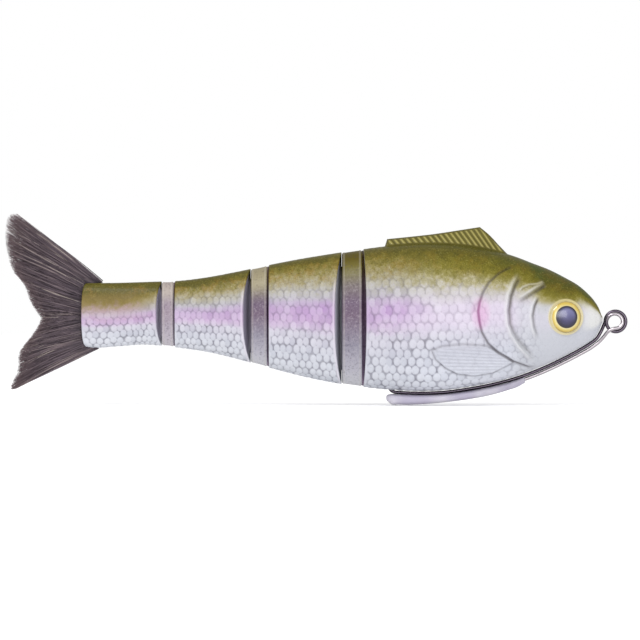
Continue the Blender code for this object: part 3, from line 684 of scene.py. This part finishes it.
def sweep(path, radii, sides):
    """Round closed tube along points, with its radius at each of them."""
    radii = np.broadcast_to(radii, (len(path),))
    tangent = np.gradient(path, axis=0)
    tangent /= np.maximum(np.linalg.norm(tangent, axis=1, keepdims=True), 1e-12)
    normal = np.array([0.0, 1.0, 0.0])
    if abs(np.dot(normal, tangent[0])) > 0.9:
        normal = np.array([0.0, 0.0, 1.0])
    points = []
    angle = 2.0 * PI * np.arange(sides) / sides
    for place, direction, radius in zip(path, tangent, radii):
        normal = normal - direction * np.dot(normal, direction)
        normal /= np.linalg.norm(normal)
        across = np.cross(direction, normal)
        points.append(place + radius * (np.cos(angle)[:, None] * normal + np.sin(angle)[:, None] * across))
    return np.concatenate(points), closed_faces(len(path), sides)


def line_tie_wire():
    """One wire: upper strand, double-turn eye and lower strand, with painted shade along the upper strand and the
    first turn.
    """
    coil = []
    for share in np.arange(COIL_STEPS) / (COIL_STEPS - 1.0):
        angle = math.radians(COIL_START_DEG - COIL_TURN_DEG * share)
        drawn_in = float(smoothstep(0.4, 0.85, share))
        radius = COIL_LARGE_RADIUS + (COIL_SMALL_RADIUS - COIL_LARGE_RADIUS) * drawn_in
        coil.append((radius * math.cos(angle), COIL_HALF_DEPTH * (1.0 - 2.0 * share), radius * math.sin(angle)))
    path = resampled(UPPER_STRAND + coil + LOWER_STRAND, WIRE_STEPS)
    points, faces = sweep(path, WIRE_RADIUS, WIRE_SIDES)
    run = np.r_[0.0, np.cumsum(np.linalg.norm(np.diff(path, axis=0), axis=1))]
    first_turn = run[np.argmax(path[:, 0] > -3.0)] + 2.0 * PI * COIL_LARGE_RADIUS
    shade = smoothstep(first_turn + 4.0, first_turn - 4.0, run)
    return mesh_object("line_tie_harness", points, faces, {"shade": np.repeat(shade, WIRE_SIDES)})


def end_ring(ring, share, push):
    """A ring drawn in towards its middle and pushed along x."""
    middle = ring.mean(axis=0)
    return middle + (ring - middle) * share + np.array((push, 0.0, 0.0))


def keel():
    """Pod with rounded corners and ends."""
    stations = np.array(KEEL_STATIONS)
    x = stations[0, 0] + (stations[-1, 0] - stations[0, 0]) * np.linspace(0.0, 1.0, KEEL_ROWS)
    top, bottom, half = (smooth_reader(stations[:, (0, k)])(x)[:, None] for k in (1, 2, 3))
    angle = 2.0 * PI * np.arange(KEEL_COLUMNS) / KEEL_COLUMNS
    across, up = np.cos(angle), np.sin(angle)
    y = half * np.sign(across) * np.abs(across) ** 0.7
    z = 0.5 * (top + bottom) + 0.5 * (top - bottom) * np.sign(up) * np.abs(up) ** 0.6
    rows = list(np.stack([np.broadcast_to(x[:, None], y.shape), y, z], axis=2))
    rear, front = rows[0], rows[-1]
    for share, push in KEEL_ENDS:
        rows.insert(0, end_ring(rear, share, -push))
        rows.append(end_ring(front, share, push))
    faces = closed_faces(len(rows), KEEL_COLUMNS, flip=False)
    return mesh_object("keel_pod", np.concatenate(rows), faces)


def fish_eye(word, side):
    """Domed eye: a clear-coated dome whose print shows iris and pupil, with a skirt down into the head."""
    tilt = math.radians(EYE_TILT_DEG)
    outward = Vector((math.sin(tilt), side * math.cos(tilt), 0.0))
    turn = np.array(Vector((0, 0, 1)).rotation_difference(outward).to_matrix())
    centre = np.array((EYE_X, side * EYE_SURFACE_Y, EYE_Z))
    angle = 2.0 * PI * np.arange(EYE_SECTORS) / EYE_SECTORS
    shares = np.linspace(0.0, 1.0, EYE_RINGS)
    profile = [(share, 0.15 + 1.75 * math.sqrt(1.0 - (share * 0.985) ** 2), 1.0) for share in shares]
    profile += [(1.0, -0.6, 0.0), (1.0, -1.6, 0.0)]
    points, radius_at, painted_reflection_side_at = [], [], []
    for share, rise, on_dome in profile:
        radius = EYE_RADIUS * max(share, 0.004)
        ring = [radius * np.cos(angle), radius * np.sin(angle), np.full(EYE_SECTORS, rise)]
        points.append(np.stack(ring, axis=1))
        radius_at.append(np.full(EYE_SECTORS, share))
        # The last value marks the side of the dome that carries the painted reflection; the skirt gets none.
        painted_reflection_side_at.append(-share * np.sin(angle) * side * on_dome)
    values = {"radius": np.concatenate(radius_at), "painted_reflection_side": np.concatenate(painted_reflection_side_at)}
    grid = np.concatenate(points) @ turn.T + centre
    return mesh_object(word + "_eye_dome", grid, closed_faces(len(points), EYE_SECTORS), values)


def tail_lobe(name, roots, tips, count, lean, seed):
    """Fan of tapered fibres from the tail's slot to the outline of one lobe."""
    random = np.random.default_rng(seed)
    root_line = resampled(roots, HAIR_LINE_POINTS)
    tip_line = resampled(tips, HAIR_LINE_POINTS)
    points, faces, tones, along = [], [], [], []
    last = HAIR_LINE_POINTS - 1
    start = 0
    t = np.linspace(0.0, 1.0, HAIR_STEPS)
    for _ in range(count):
        f = random.random()
        g = min(1.0, max(0.0, f + random.normal(0.0, 0.035)))
        root = root_line[int(f * last)] + random.normal(0.0, 0.25, 2)
        tip = tip_line[int(g * last)]
        reach = 1.0 - abs(random.normal(0.0, 0.045)) if random.random() < 0.82 else random.uniform(0.55, 0.95)
        heading = math.radians(180.0 - lean[0] - (lean[1] - lean[0]) * f)
        control = root + 0.45 * math.dist(root, tip) * np.array((math.cos(heading), math.sin(heading)))
        control += random.normal(0.0, 0.5, 2)
        end = root + (tip - root) * reach
        y0 = random.uniform(-0.85, 0.85)
        y1 = random.normal(0.0, 1.0)
        y2 = random.normal(0.0, 0.9)
        flat = np.outer((1 - t) ** 2, root) + np.outer(2 * t * (1 - t), control) + np.outer(t**2, end)
        y = y0 * (1 - t) ** 2 + y1 * 2 * t * (1 - t) + y2 * t**2
        path = np.stack([flat[:, 0], np.clip(y, -2.2, 2.2), flat[:, 1]], axis=1)
        width = random.uniform(0.1, 0.17)
        ring, quads = sweep(path, width * (1.0 - 0.8 * t**1.5), HAIR_SIDES)
        points.append(ring)
        faces += [tuple(i + start for i in q) for q in quads]
        start += len(ring)
        tones.append(np.full(len(ring), random.random()))
        along.append(np.repeat(t, HAIR_SIDES))
    values = {"tone": np.concatenate(tones), "along": np.concatenate(along)}
    return mesh_object(name, np.concatenate(points), faces, values)


# ---------------------------------------------------------------- materials

# Colour ramps: place, then red, green and blue as displayed. Paint runs from the belly (0) to the back (1).
# In BODY_PAINT the stops nearest the belly are the pearl print lifted a little, as painted light on the underside
# that faces away from the lamps.
BODY_PAINT = [
    (0.0, 212, 216, 226), (0.07, 221, 224, 233), (0.2, 204, 206, 217), (0.36, 201, 197, 211),
    (0.41, 201, 183, 209), (0.47, 194, 165, 203), (0.56, 183, 152, 194), (0.63, 178, 160, 188),
    (0.67, 172, 167, 174), (0.72, 167, 163, 152), (0.77, 164, 157, 131), (0.82, 154, 143, 100),
    (0.87, 134, 122, 60), (0.92, 112, 101, 28), (0.97, 88, 81, 16),
]
HEAD_PAINT = [
    (0.0, 236, 239, 249), (0.08, 231, 234, 245), (0.25, 208, 210, 222), (0.36, 208, 206, 219),
    (0.46, 220, 209, 228), (0.58, 218, 207, 225), (0.65, 198, 192, 195), (0.695, 186, 180, 164),
    (0.74, 171, 162, 116), (0.78, 146, 137, 70), (0.82, 124, 115, 34), (0.87, 110, 102, 20),
    (0.92, 97, 89, 12), (1.0, 80, 76, 8),
]
BAND_PAINT = [
    (0.0, 216, 216, 222), (0.13, 182, 180, 191), (0.3, 146, 142, 157), (0.42, 132, 120, 137),
    (0.52, 118, 100, 119), (0.62, 114, 97, 117), (0.74, 122, 112, 110), (0.83, 122, 115, 76),
    (0.88, 108, 98, 30), (0.93, 92, 80, 2), (1.0, 80, 70, 0),
]
# From the middle of the eye (0) to its edge (1).
EYE_PRINT = [
    (0.0, 78, 76, 124), (0.35, 58, 54, 98), (0.58, 32, 25, 58), (0.675, 16, 9, 32), (0.7, 110, 94, 70),
    (0.73, 236, 224, 168), (0.82, 230, 208, 116), (0.89, 218, 188, 88), (0.945, 192, 166, 88),
    (0.97, 176, 154, 96), (1.0, 214, 200, 142),
]
# From the darkest fibre to the palest.
HAIR_TONES = [
    (0.0, 70, 60, 68), (0.45, 104, 92, 102), (0.8, 130, 115, 122), (0.94, 158, 142, 144),
    (0.99, 210, 196, 188),
]
# Darkening of the paint between scales, and painted shade inside the gaps of the bands, as raw factors.
SCALE_INK = (0.36, 0.35, 0.38, 1.0)
GAP_SHADE = (0.4, 0.3, 0.4, 1.0)
WHITE = (1.0, 1.0, 1.0, 1.0)


class Nodes:
    """Short helpers for building one material's node tree. Places are in metres."""

    def __init__(self, name):
        self.material = bpy.data.materials.new(name)
        self.material.use_nodes = True
        self.tree = self.material.node_tree
        self.shader = self.tree.nodes["Principled BSDF"]

    def put(self, socket, value):
        """Links a socket, or sets a number, a raw colour of four values or a displayed colour of three."""
        if isinstance(value, bpy.types.NodeSocket):
            self.tree.links.new(value, socket)
        elif isinstance(value, tuple) and len(value) == 3:
            socket.default_value = linear(*value)
        else:
            socket.default_value = value

    def add(self, kind, inputs, **settings):
        """New node with its settings, and values or links for its inputs."""
        node = self.tree.nodes.new("ShaderNode" + kind)
        for key, value in settings.items():
            setattr(node, key, value)
        for key, value in inputs.items():
            self.put(node.inputs[key], value)
        return node

    def attribute(self, name):
        return self.add("Attribute", {}, attribute_name=name).outputs["Fac"]

    def place(self):
        return self.add("TexCoord", {}).outputs["Object"]

    def split(self, vector):
        return self.add("SeparateXYZ", {0: vector}).outputs

    def math(self, operation, a, b, clamp=False):
        return self.add("Math", {0: a, 1: b}, operation=operation, use_clamp=clamp).outputs[0]

    def times(self, first, *others):
        for value in others:
            first = self.math("MULTIPLY", first, value)
        return first

    def plus(self, first, *others):
        for value in others:
            first = self.math("ADD", first, value)
        return first

    def step(self, value, low, high):
        """Smooth 0 to 1 as value goes from low to high."""
        inputs = {"Value": value, "From Min": low, "From Max": high}
        return self.add("MapRange", inputs, interpolation_type="SMOOTHSTEP").outputs["Result"]

    def mix(self, factor, first, second, blend="MIX"):
        inputs = {0: factor, 6: first, 7: second}
        return self.add("Mix", inputs, data_type="RGBA", blend_type=blend).outputs[2]

    def tint(self, base, colour, *masks):
        """A colour laid over a base as strongly as the product of the masks."""
        return self.mix(self.times(*masks), base, colour)

    def ramp(self, value, stops):
        node = self.add("ValToRGB", {0: value})
        points = node.color_ramp.elements
        while len(points) < len(stops):
            points.new(0.5)
        for point, (place, *colour) in zip(points, stops):
            point.position = place
            point.color = linear(*colour)
        return node.outputs[0]

    def noise(self, scale, detail=3.0, roughness=0.5):
        inputs = {"Vector": self.place(), "Scale": scale, "Detail": detail, "Roughness": roughness}
        return self.add("TexNoise", inputs).outputs["Fac"]

    def spread(self, scale, detail, roughness):
        """Noise about zero."""
        return self.plus(self.noise(scale, detail, roughness), -0.5)

    def bump(self, height, strength, distance):
        node = self.add("Bump", {"Height": height, "Strength": strength, "Distance": distance})
        self.put(self.shader.inputs["Normal"], node.outputs[0])

    def finish(self, colour, roughness, metallic=0.0, coat=0.0, coat_roughness=0.05, specular=0.5):
        values = {"Base Color": colour, "Roughness": roughness, "Metallic": metallic, "Coat Weight": coat}
        values |= {"Coat Roughness": coat_roughness, "Specular IOR Level": specular}
        for key, value in values.items():
            self.put(self.shader.inputs[key], value)
        return self.material


def flank_paint(n, band, x):
    """Printed trout colours from belly to back, one set behind the shoulder and one for the head."""
    low = n.times(n.step(x, -0.15, -0.172), 0.165)
    low = n.plus(low, n.times(n.step(x, -0.12, -0.14), 0.05))
    low = n.plus(low, n.times(n.step(x, -0.031, -0.024), n.step(x, -0.011, -0.018), 0.1))
    spatter = n.plus(0.1, n.times(n.step(band, 0.64, 0.74), 0.22))
    place = n.plus(band, n.times(low, n.step(band, 0.15, 0.6)))
    place = n.plus(place, n.times(n.spread(420.0, 5.0, 0.8), spatter))
    place = n.plus(place, n.times(n.spread(70.0, 2.0, 0.5), 0.05))
    return n.mix(n.step(x, -0.086, -0.056), n.ramp(place, BODY_PAINT), n.ramp(place, HEAD_PAINT))


def back_marks(n, paint, band, x):
    """Moss on the crown of the head and rust along the back."""
    moss = n.times(n.step(n.noise(170.0, 4.0, 0.6), 0.44, 0.62), n.step(band, 0.8, 0.94))
    paint = n.tint(paint, (58, 80, 24), moss, n.step(x, -0.05, -0.022), 0.6)
    rust = n.times(n.step(n.noise(230.0, 4.0, 0.7), 0.48, 0.62), n.step(band, 0.74, 0.84))
    depth = n.plus(0.14, n.times(n.step(x, -0.064, -0.084), 0.16))
    return n.tint(paint, (150, 112, 30), rust, n.step(band, 0.99, 0.9), depth)


def tail_marks(n, paint, band, x):
    """Blush and ochre near the tail, both with ragged edges."""
    near_tail = n.step(x, -0.152, -0.168)
    ragged = n.plus(band, n.times(n.spread(520.0, 4.0, 0.75), 0.34))
    blush = n.times(n.step(ragged, 0.34, 0.46), n.step(ragged, 0.72, 0.54))
    paint = n.tint(paint, (190, 154, 180), blush, near_tail, 0.55)
    ochre = n.times(n.step(ragged, 0.5, 0.72), n.step(band, 0.9, 0.76))
    return n.tint(paint, (138, 116, 62), ochre, near_tail, 0.6)


def head_marks(n, paint, band, x):
    """Grey cheek and pale snout."""
    paint = n.tint(paint, (205, 207, 215), n.step(x, -0.038, -0.031), n.step(band, 0.66, 0.58), 0.7)
    snout = n.times(n.step(band, 0.84, 0.7), n.step(band, 0.2, 0.38))
    return n.tint(paint, (240, 240, 236), n.step(x, -0.014, -0.008), snout, 0.75)


def gill_spot(n, x, z):
    """Mask of the soft oval spot at the gill cover's edge."""
    dx = n.times(n.plus(x, 0.0466), 1.0 / 0.003)
    dz = n.times(n.plus(z, -0.0028), 1.0 / 0.005)
    return n.step(n.plus(n.times(dx, dx), n.times(dz, dz)), 1.8, 0.0)


def rose_stripe(n, paint, band, x):
    """Stronger rose in the middle of the flank, broken up."""
    along = n.times(n.step(x, -0.115, -0.096), n.step(x, -0.058, -0.08))
    height = n.times(n.step(band, 0.42, 0.54), n.step(band, 0.66, 0.57))
    return n.tint(paint, (184, 138, 200), along, height, n.step(n.noise(130.0), 0.4, 0.6), 0.55)


def scale_paint(n, paint, band, upper, calm):
    """Each scale's own tone, and the dark line round it."""
    scaled, tone = n.attribute("scaled"), n.attribute("scale_tone")
    paint = n.tint(paint, (238, 238, 246), tone, 0.26, calm, scaled)
    paint = n.tint(paint, (158, 160, 178), n.step(tone, 0.3, 0.02), 0.15, calm, scaled)
    strength = n.plus(0.8, n.times(n.step(band, 0.34, 0.44), -0.34), n.times(upper, -0.2))
    patchy = n.times(n.noise(330.0, 3.0, 0.6), 1.8)
    strength = n.math("MULTIPLY", n.times(n.attribute("scale_line"), strength), patchy, clamp=True)
    return n.mix(strength, paint, n.mix(1.0, paint, SCALE_INK, "MULTIPLY"))


def relief_paint(n, paint, upper, spot):
    """Painted highlight on the ridge crests and painted shade at their feet, grey fin rays, darker grooves and the
    cream eye rim. The groove turns rosy at the spot.
    """
    crest = n.mix(upper, (226, 226, 228), (196, 188, 150))
    paint = n.tint(paint, crest, n.attribute("painted_ridge_highlight"), 0.6)
    paint = n.tint(paint, (96, 90, 78), n.attribute("painted_ridge_shade"), 0.8)
    paint = n.tint(paint, (150, 148, 160), n.attribute("fin_rays"), 0.2)
    line = n.mix(spot, n.mix(upper, (96, 90, 96), (58, 52, 26)), (140, 56, 122))
    paint = n.tint(paint, line, n.attribute("groove"), 0.78)
    return n.tint(paint, (228, 214, 160), n.attribute("eye_rim"), 0.85)


def grain_paint(n, paint, upper):
    """Fine dark and light grain, stronger on the back."""
    grain = n.noise(2300.0, 2.0, 0.6)
    depth = n.plus(0.12, n.times(upper, 0.34))
    paint = n.tint(paint, (62, 58, 26), n.step(grain, 0.52, 0.72), depth)
    return n.tint(paint, (196, 190, 116), n.step(grain, 0.46, 0.3), depth, 0.4)


def skin_material():
    n = Nodes("printed_trout_skin")
    band = n.attribute("band")
    x, _, z = n.split(n.place())
    upper = n.step(band, 0.7, 0.86)
    calm = n.math("SUBTRACT", 1.0, upper)
    spot = gill_spot(n, x, z)
    paint = flank_paint(n, band, x)
    paint = back_marks(n, paint, band, x)
    paint = tail_marks(n, paint, band, x)
    paint = head_marks(n, paint, band, x)
    paint = n.tint(paint, (226, 130, 200), spot, 0.36)
    paint = rose_stripe(n, paint, band, x)
    paint = scale_paint(n, paint, band, upper, calm)
    paint = relief_paint(n, paint, upper, spot)
    paint = grain_paint(n, paint, upper)
    # Painted highlight along the rounded section edges, stronger towards the tail and kept off the back.
    rim_highlight_strength = n.plus(0.1, n.times(n.step(x, -0.15, -0.13), 0.3))
    paint = n.tint(paint, (240, 230, 242), n.attribute("rim"), rim_highlight_strength, calm)
    # Inside walls seen in the gaps: pale at the front hinge, and greyer behind it as painted shade for the deeper
    # gaps of the middle and rear hinges.
    hollow = n.mix(n.step(x, -0.1, -0.118), (224, 226, 240), (172, 166, 186))
    paint = n.mix(n.attribute("inner"), paint, hollow)
    n.bump(n.noise(1400.0, 3.0, 0.55), 0.1, 0.0004)
    return n.finish(paint, roughness=0.5, coat=0.05, coat_roughness=0.14, specular=0.14)


def fin_material():
    n = Nodes("dorsal_fin_print")
    base = n.mix(n.noise(240.0, 4.0, 0.6), (76, 70, 14), (106, 98, 30))
    base = n.tint(base, (116, 110, 60), n.step(n.attribute("lift"), 0.7, 1.0), 0.3)
    colour = n.tint(base, (180, 170, 100), n.attribute("ray"), 0.85)
    colour = n.tint(colour, (92, 86, 36), n.attribute("edge"), 0.6)
    n.bump(n.noise(1500.0, 2.0), 0.12, 0.0003)
    return n.finish(colour, roughness=0.5, coat=0.05, coat_roughness=0.12, specular=0.14)


def hinge_band_material():
    n = Nodes("mottled_hinge_band")
    band = n.attribute("band")
    x = n.split(n.place())[0]
    colour = n.ramp(band, BAND_PAINT)
    colour = n.tint(colour, (176, 166, 140), n.step(x, -0.11, -0.12), n.step(band, 0.66, 0.84), 0.65)
    colour = n.tint(colour, (196, 182, 192), n.step(x, -0.13, -0.15), 0.45)
    fine = n.noise(1300.0, 4.0, 0.7)
    colour = n.tint(colour, (66, 54, 72), n.step(fine, 0.52, 0.66), 0.4)
    colour = n.tint(colour, (196, 188, 194), n.step(fine, 0.48, 0.36), n.step(band, 0.96, 0.6), 0.28)
    colour = n.tint(colour, (206, 200, 190), n.attribute("lip"), 0.26)
    # Painted shade on the rear face, in the groove and on the plug, where the block sits in the gaps.
    colour = n.mix(n.attribute("painted_gap_shade"), colour, n.mix(1.0, colour, GAP_SHADE, "MULTIPLY"))
    n.bump(fine, 0.16, 0.0003)
    return n.finish(colour, roughness=0.5, coat=0.04, coat_roughness=0.15, specular=0.14)


def eye_material():
    n = Nodes("domed_fish_eye")
    radius, painted_reflection_side = n.attribute("radius"), n.attribute("painted_reflection_side")
    colour = n.ramp(radius, EYE_PRINT)
    # Painted reflection on the pupil, and the iris a deeper gold on the same side, also as painted light.
    colour = n.tint(colour, (146, 146, 194), n.step(painted_reflection_side, -0.3, 0.5), n.step(radius, 0.67, 0.46), 0.6)
    in_iris = n.times(n.step(radius, 0.7, 0.76), n.step(radius, 0.98, 0.86))
    colour = n.tint(colour, (206, 174, 52), in_iris, n.step(painted_reflection_side, 0.1, 0.8), 0.5)
    streak = n.step(n.noise(520.0, 3.0, 0.6), 0.5, 0.7)
    colour = n.tint(colour, (250, 232, 160), in_iris, streak, 0.4)
    return n.finish(colour, roughness=0.2, coat=0.5, coat_roughness=0.12, specular=0.3)


def steel_material():
    n = Nodes("drawn_steel_wire")
    streak = n.noise(900.0, 3.0, 0.6)
    colour = n.mix(streak, (168, 160, 168), (216, 208, 212))
    # Painted shade on the upper strand and the first turn of the eye.
    colour = n.tint(colour, (78, 68, 84), n.attribute("shade"), 0.9)
    n.bump(streak, 0.08, 0.0002)
    return n.finish(colour, roughness=0.24, metallic=1.0)


def keel_material():
    n = Nodes("pearl_keel_paint")
    colour = n.mix(n.step(n.noise(90.0), 0.35, 0.65), (190, 184, 204), (214, 210, 222))
    colour = n.tint(colour, (150, 142, 160), n.step(n.noise(1800.0, 3.0, 0.6), 0.56, 0.72), 0.22)
    n.bump(n.noise(700.0), 0.12, 0.0003)
    return n.finish(colour, roughness=0.45, coat=0.1, coat_roughness=0.12, specular=0.2)


def hair_material():
    n = Nodes("dark_tail_hair")
    along = n.attribute("along")
    colour = n.ramp(n.attribute("tone"), HAIR_TONES)
    colour = n.tint(colour, (96, 76, 80), n.noise(400.0), 0.3)
    colour = n.tint(colour, (58, 52, 60), n.step(along, 0.4, 0.05), 0.45)
    colour = n.tint(colour, (142, 118, 118), n.step(along, 0.72, 1.0), 0.35)
    return n.finish(colour, roughness=0.5, specular=0.2)


def dark_plastic_material():
    n = Nodes("bound_tail_root")
    fine = n.noise(900.0, 3.0, 0.6)
    n.bump(fine, 0.2, 0.0003)
    return n.finish(n.mix(fine, (40, 28, 36), (66, 50, 60)), roughness=0.55)


# ---------------------------------------------------------------- pieces


def dress(item, material):
    item.data.materials.clear()
    item.data.materials.append(material)


def make_skins(material):
    for label, spec in SECTIONS.items():
        for side, word in ((-1.0, "right"), (1.0, "left")):
            points, faces, values = section_skin(label, spec, side)
            item = mesh_object(label + "_skin_" + word, points, faces, values)
            dress(item, material)
            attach(item, label)
            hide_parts(label + "_shell_" + word)


def cut_pockets(item, spec):
    """Pockets in the block's rear face that leave room for the wire eyes."""
    pin = spec["pin"]
    top, bottom = float(back_z(pin)), float(belly_z(pin))
    for sign in (1.0, -1.0):
        height = 0.5 * (top + bottom) + sign * EYE_HEIGHT_SHARE * (top - bottom)
        low = (spec["rear"] - 1.0, -POCKET_HALF, height - POCKET_HEIGHT)
        high = (pin + POCKET_HALF, POCKET_HALF, height + POCKET_HEIGHT)
        faces = [(0, 1, 3, 2), (4, 6, 7, 5), (0, 4, 5, 1), (2, 3, 7, 6), (0, 2, 6, 4), (1, 5, 7, 3)]
        cutter = mesh_object("pocket_cutter", list(product(*zip(low, high))), faces, smooth=False)
        step = item.modifiers.new("pocket", "BOOLEAN")
        step.object = cutter
        step.operation = "DIFFERENCE"
        step.solver = "EXACT"
        bpy.context.view_layer.update()
        graph = bpy.context.evaluated_depsgraph_get()
        cut = item.evaluated_get(graph)
        mesh = bpy.data.meshes.new_from_object(cut, preserve_all_data_layers=True, depsgraph=graph)
        item.modifiers.clear()
        item.data = mesh
        bpy.data.objects.remove(cutter, do_unlink=True)


def make_bands(material):
    for label, spec in HINGES.items():
        item = hinge_band(label, spec)
        cut_pockets(item, spec)
        dress(item, material)
        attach(item, spec["body"])
        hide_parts(label + "_hinge_block")


def make_eyes(material):
    for side, word in ((-1.0, "right"), (1.0, "left")):
        item = fish_eye(word, side)
        dress(item, material)
        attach(item, "head")
        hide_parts(word + "_eye_iris", word + "_eye_lens")


def make_tail(material):
    upper = tail_lobe("tail_hair_upper", UPPER_ROOTS, UPPER_TIPS, 2250, (4.0, 40.0), 11)
    lower = tail_lobe("tail_hair_lower", LOWER_ROOTS, LOWER_TIPS, 1900, (-3.0, -23.0), 12)
    for item, node in ((upper, "tail_brush_upper"), (lower, "tail_brush_lower")):
        dress(item, material)
        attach(item, "tail_body")
        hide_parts(node)


def add_light(name, place, size, power):
    """Soft rectangular lamp aimed at the middle of the lure."""
    data = bpy.data.lights.new(name, "AREA")
    data.shape = "RECTANGLE"
    data.size, data.size_y = size
    data.energy = power
    item = bpy.data.objects.new(name, data)
    bpy.context.scene.collection.objects.link(item)
    item.location = place
    item.rotation_euler = (Vector(LAMP_AIM) - Vector(place)).to_track_quat("-Z", "Y").to_euler()


def studio_floor():
    n = Nodes("studio_white")
    paper = n.finish((0.92, 0.92, 0.925, 1.0), roughness=0.9, specular=0.1)
    n.shader.inputs["Emission Color"].default_value = WHITE
    n.shader.inputs["Emission Strength"].default_value = 0.1
    half = FLOOR_HALF_MM
    corners = [(-half, -half, 0), (half, -half, 0), (half, half, 0), (-half, half, 0)]
    floor = mesh_object("studio_floor", corners, [(0, 1, 2, 3)])
    floor.location = (0.0, 0.0, CAD_BOX[0][2] - FLOOR_GAP)
    dress(floor, paper)


def studio():
    """Pale floor, white surroundings, two soft lamps and the camera square to the right flank."""
    studio_floor()
    world = bpy.data.worlds.new("studio")
    world.use_nodes = True
    surroundings = world.node_tree.nodes["Background"].inputs
    surroundings["Color"].default_value = WHITE
    surroundings["Strength"].default_value = 1.0
    bpy.context.scene.world = world
    add_light("key", (-0.45, -0.6, 0.62), (0.35, 0.35), 6.0)
    add_light("fill", (0.1, -0.8, 0.12), (0.6, 0.24), 2.6)
    data = bpy.data.cameras.new("camera")
    data.lens = CAMERA_LENS
    data.sensor_width = CAMERA_SENSOR
    data.clip_start = 0.01
    camera = bpy.data.objects.new("camera", data)
    bpy.context.scene.collection.objects.link(camera)
    camera.location = CAMERA_PLACE
    camera.rotation_euler = (PI / 2.0, 0.0, 0.0)
    bpy.context.scene.camera = camera
    bpy.context.scene.view_settings.view_transform = "Standard"


def main():
    skin = skin_material()
    steel = steel_material()
    make_skins(skin)
    fin = dorsal_fin()
    dress(fin, fin_material())
    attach(fin, "head")
    make_bands(hinge_band_material())
    make_eyes(eye_material())
    wire = line_tie_wire()
    dress(wire, steel)
    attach(wire, "head")
    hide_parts("line_tie_wire")
    pod = keel()
    dress(pod, keel_material())
    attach(pod, "head")
    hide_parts("keel_weight")
    make_tail(hair_material())
    root = dark_plastic_material()
    for name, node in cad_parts.items():
        if node.hide_render:
            continue
        dress(node, root if name == "tail_tab" else steel)
    studio()


main()
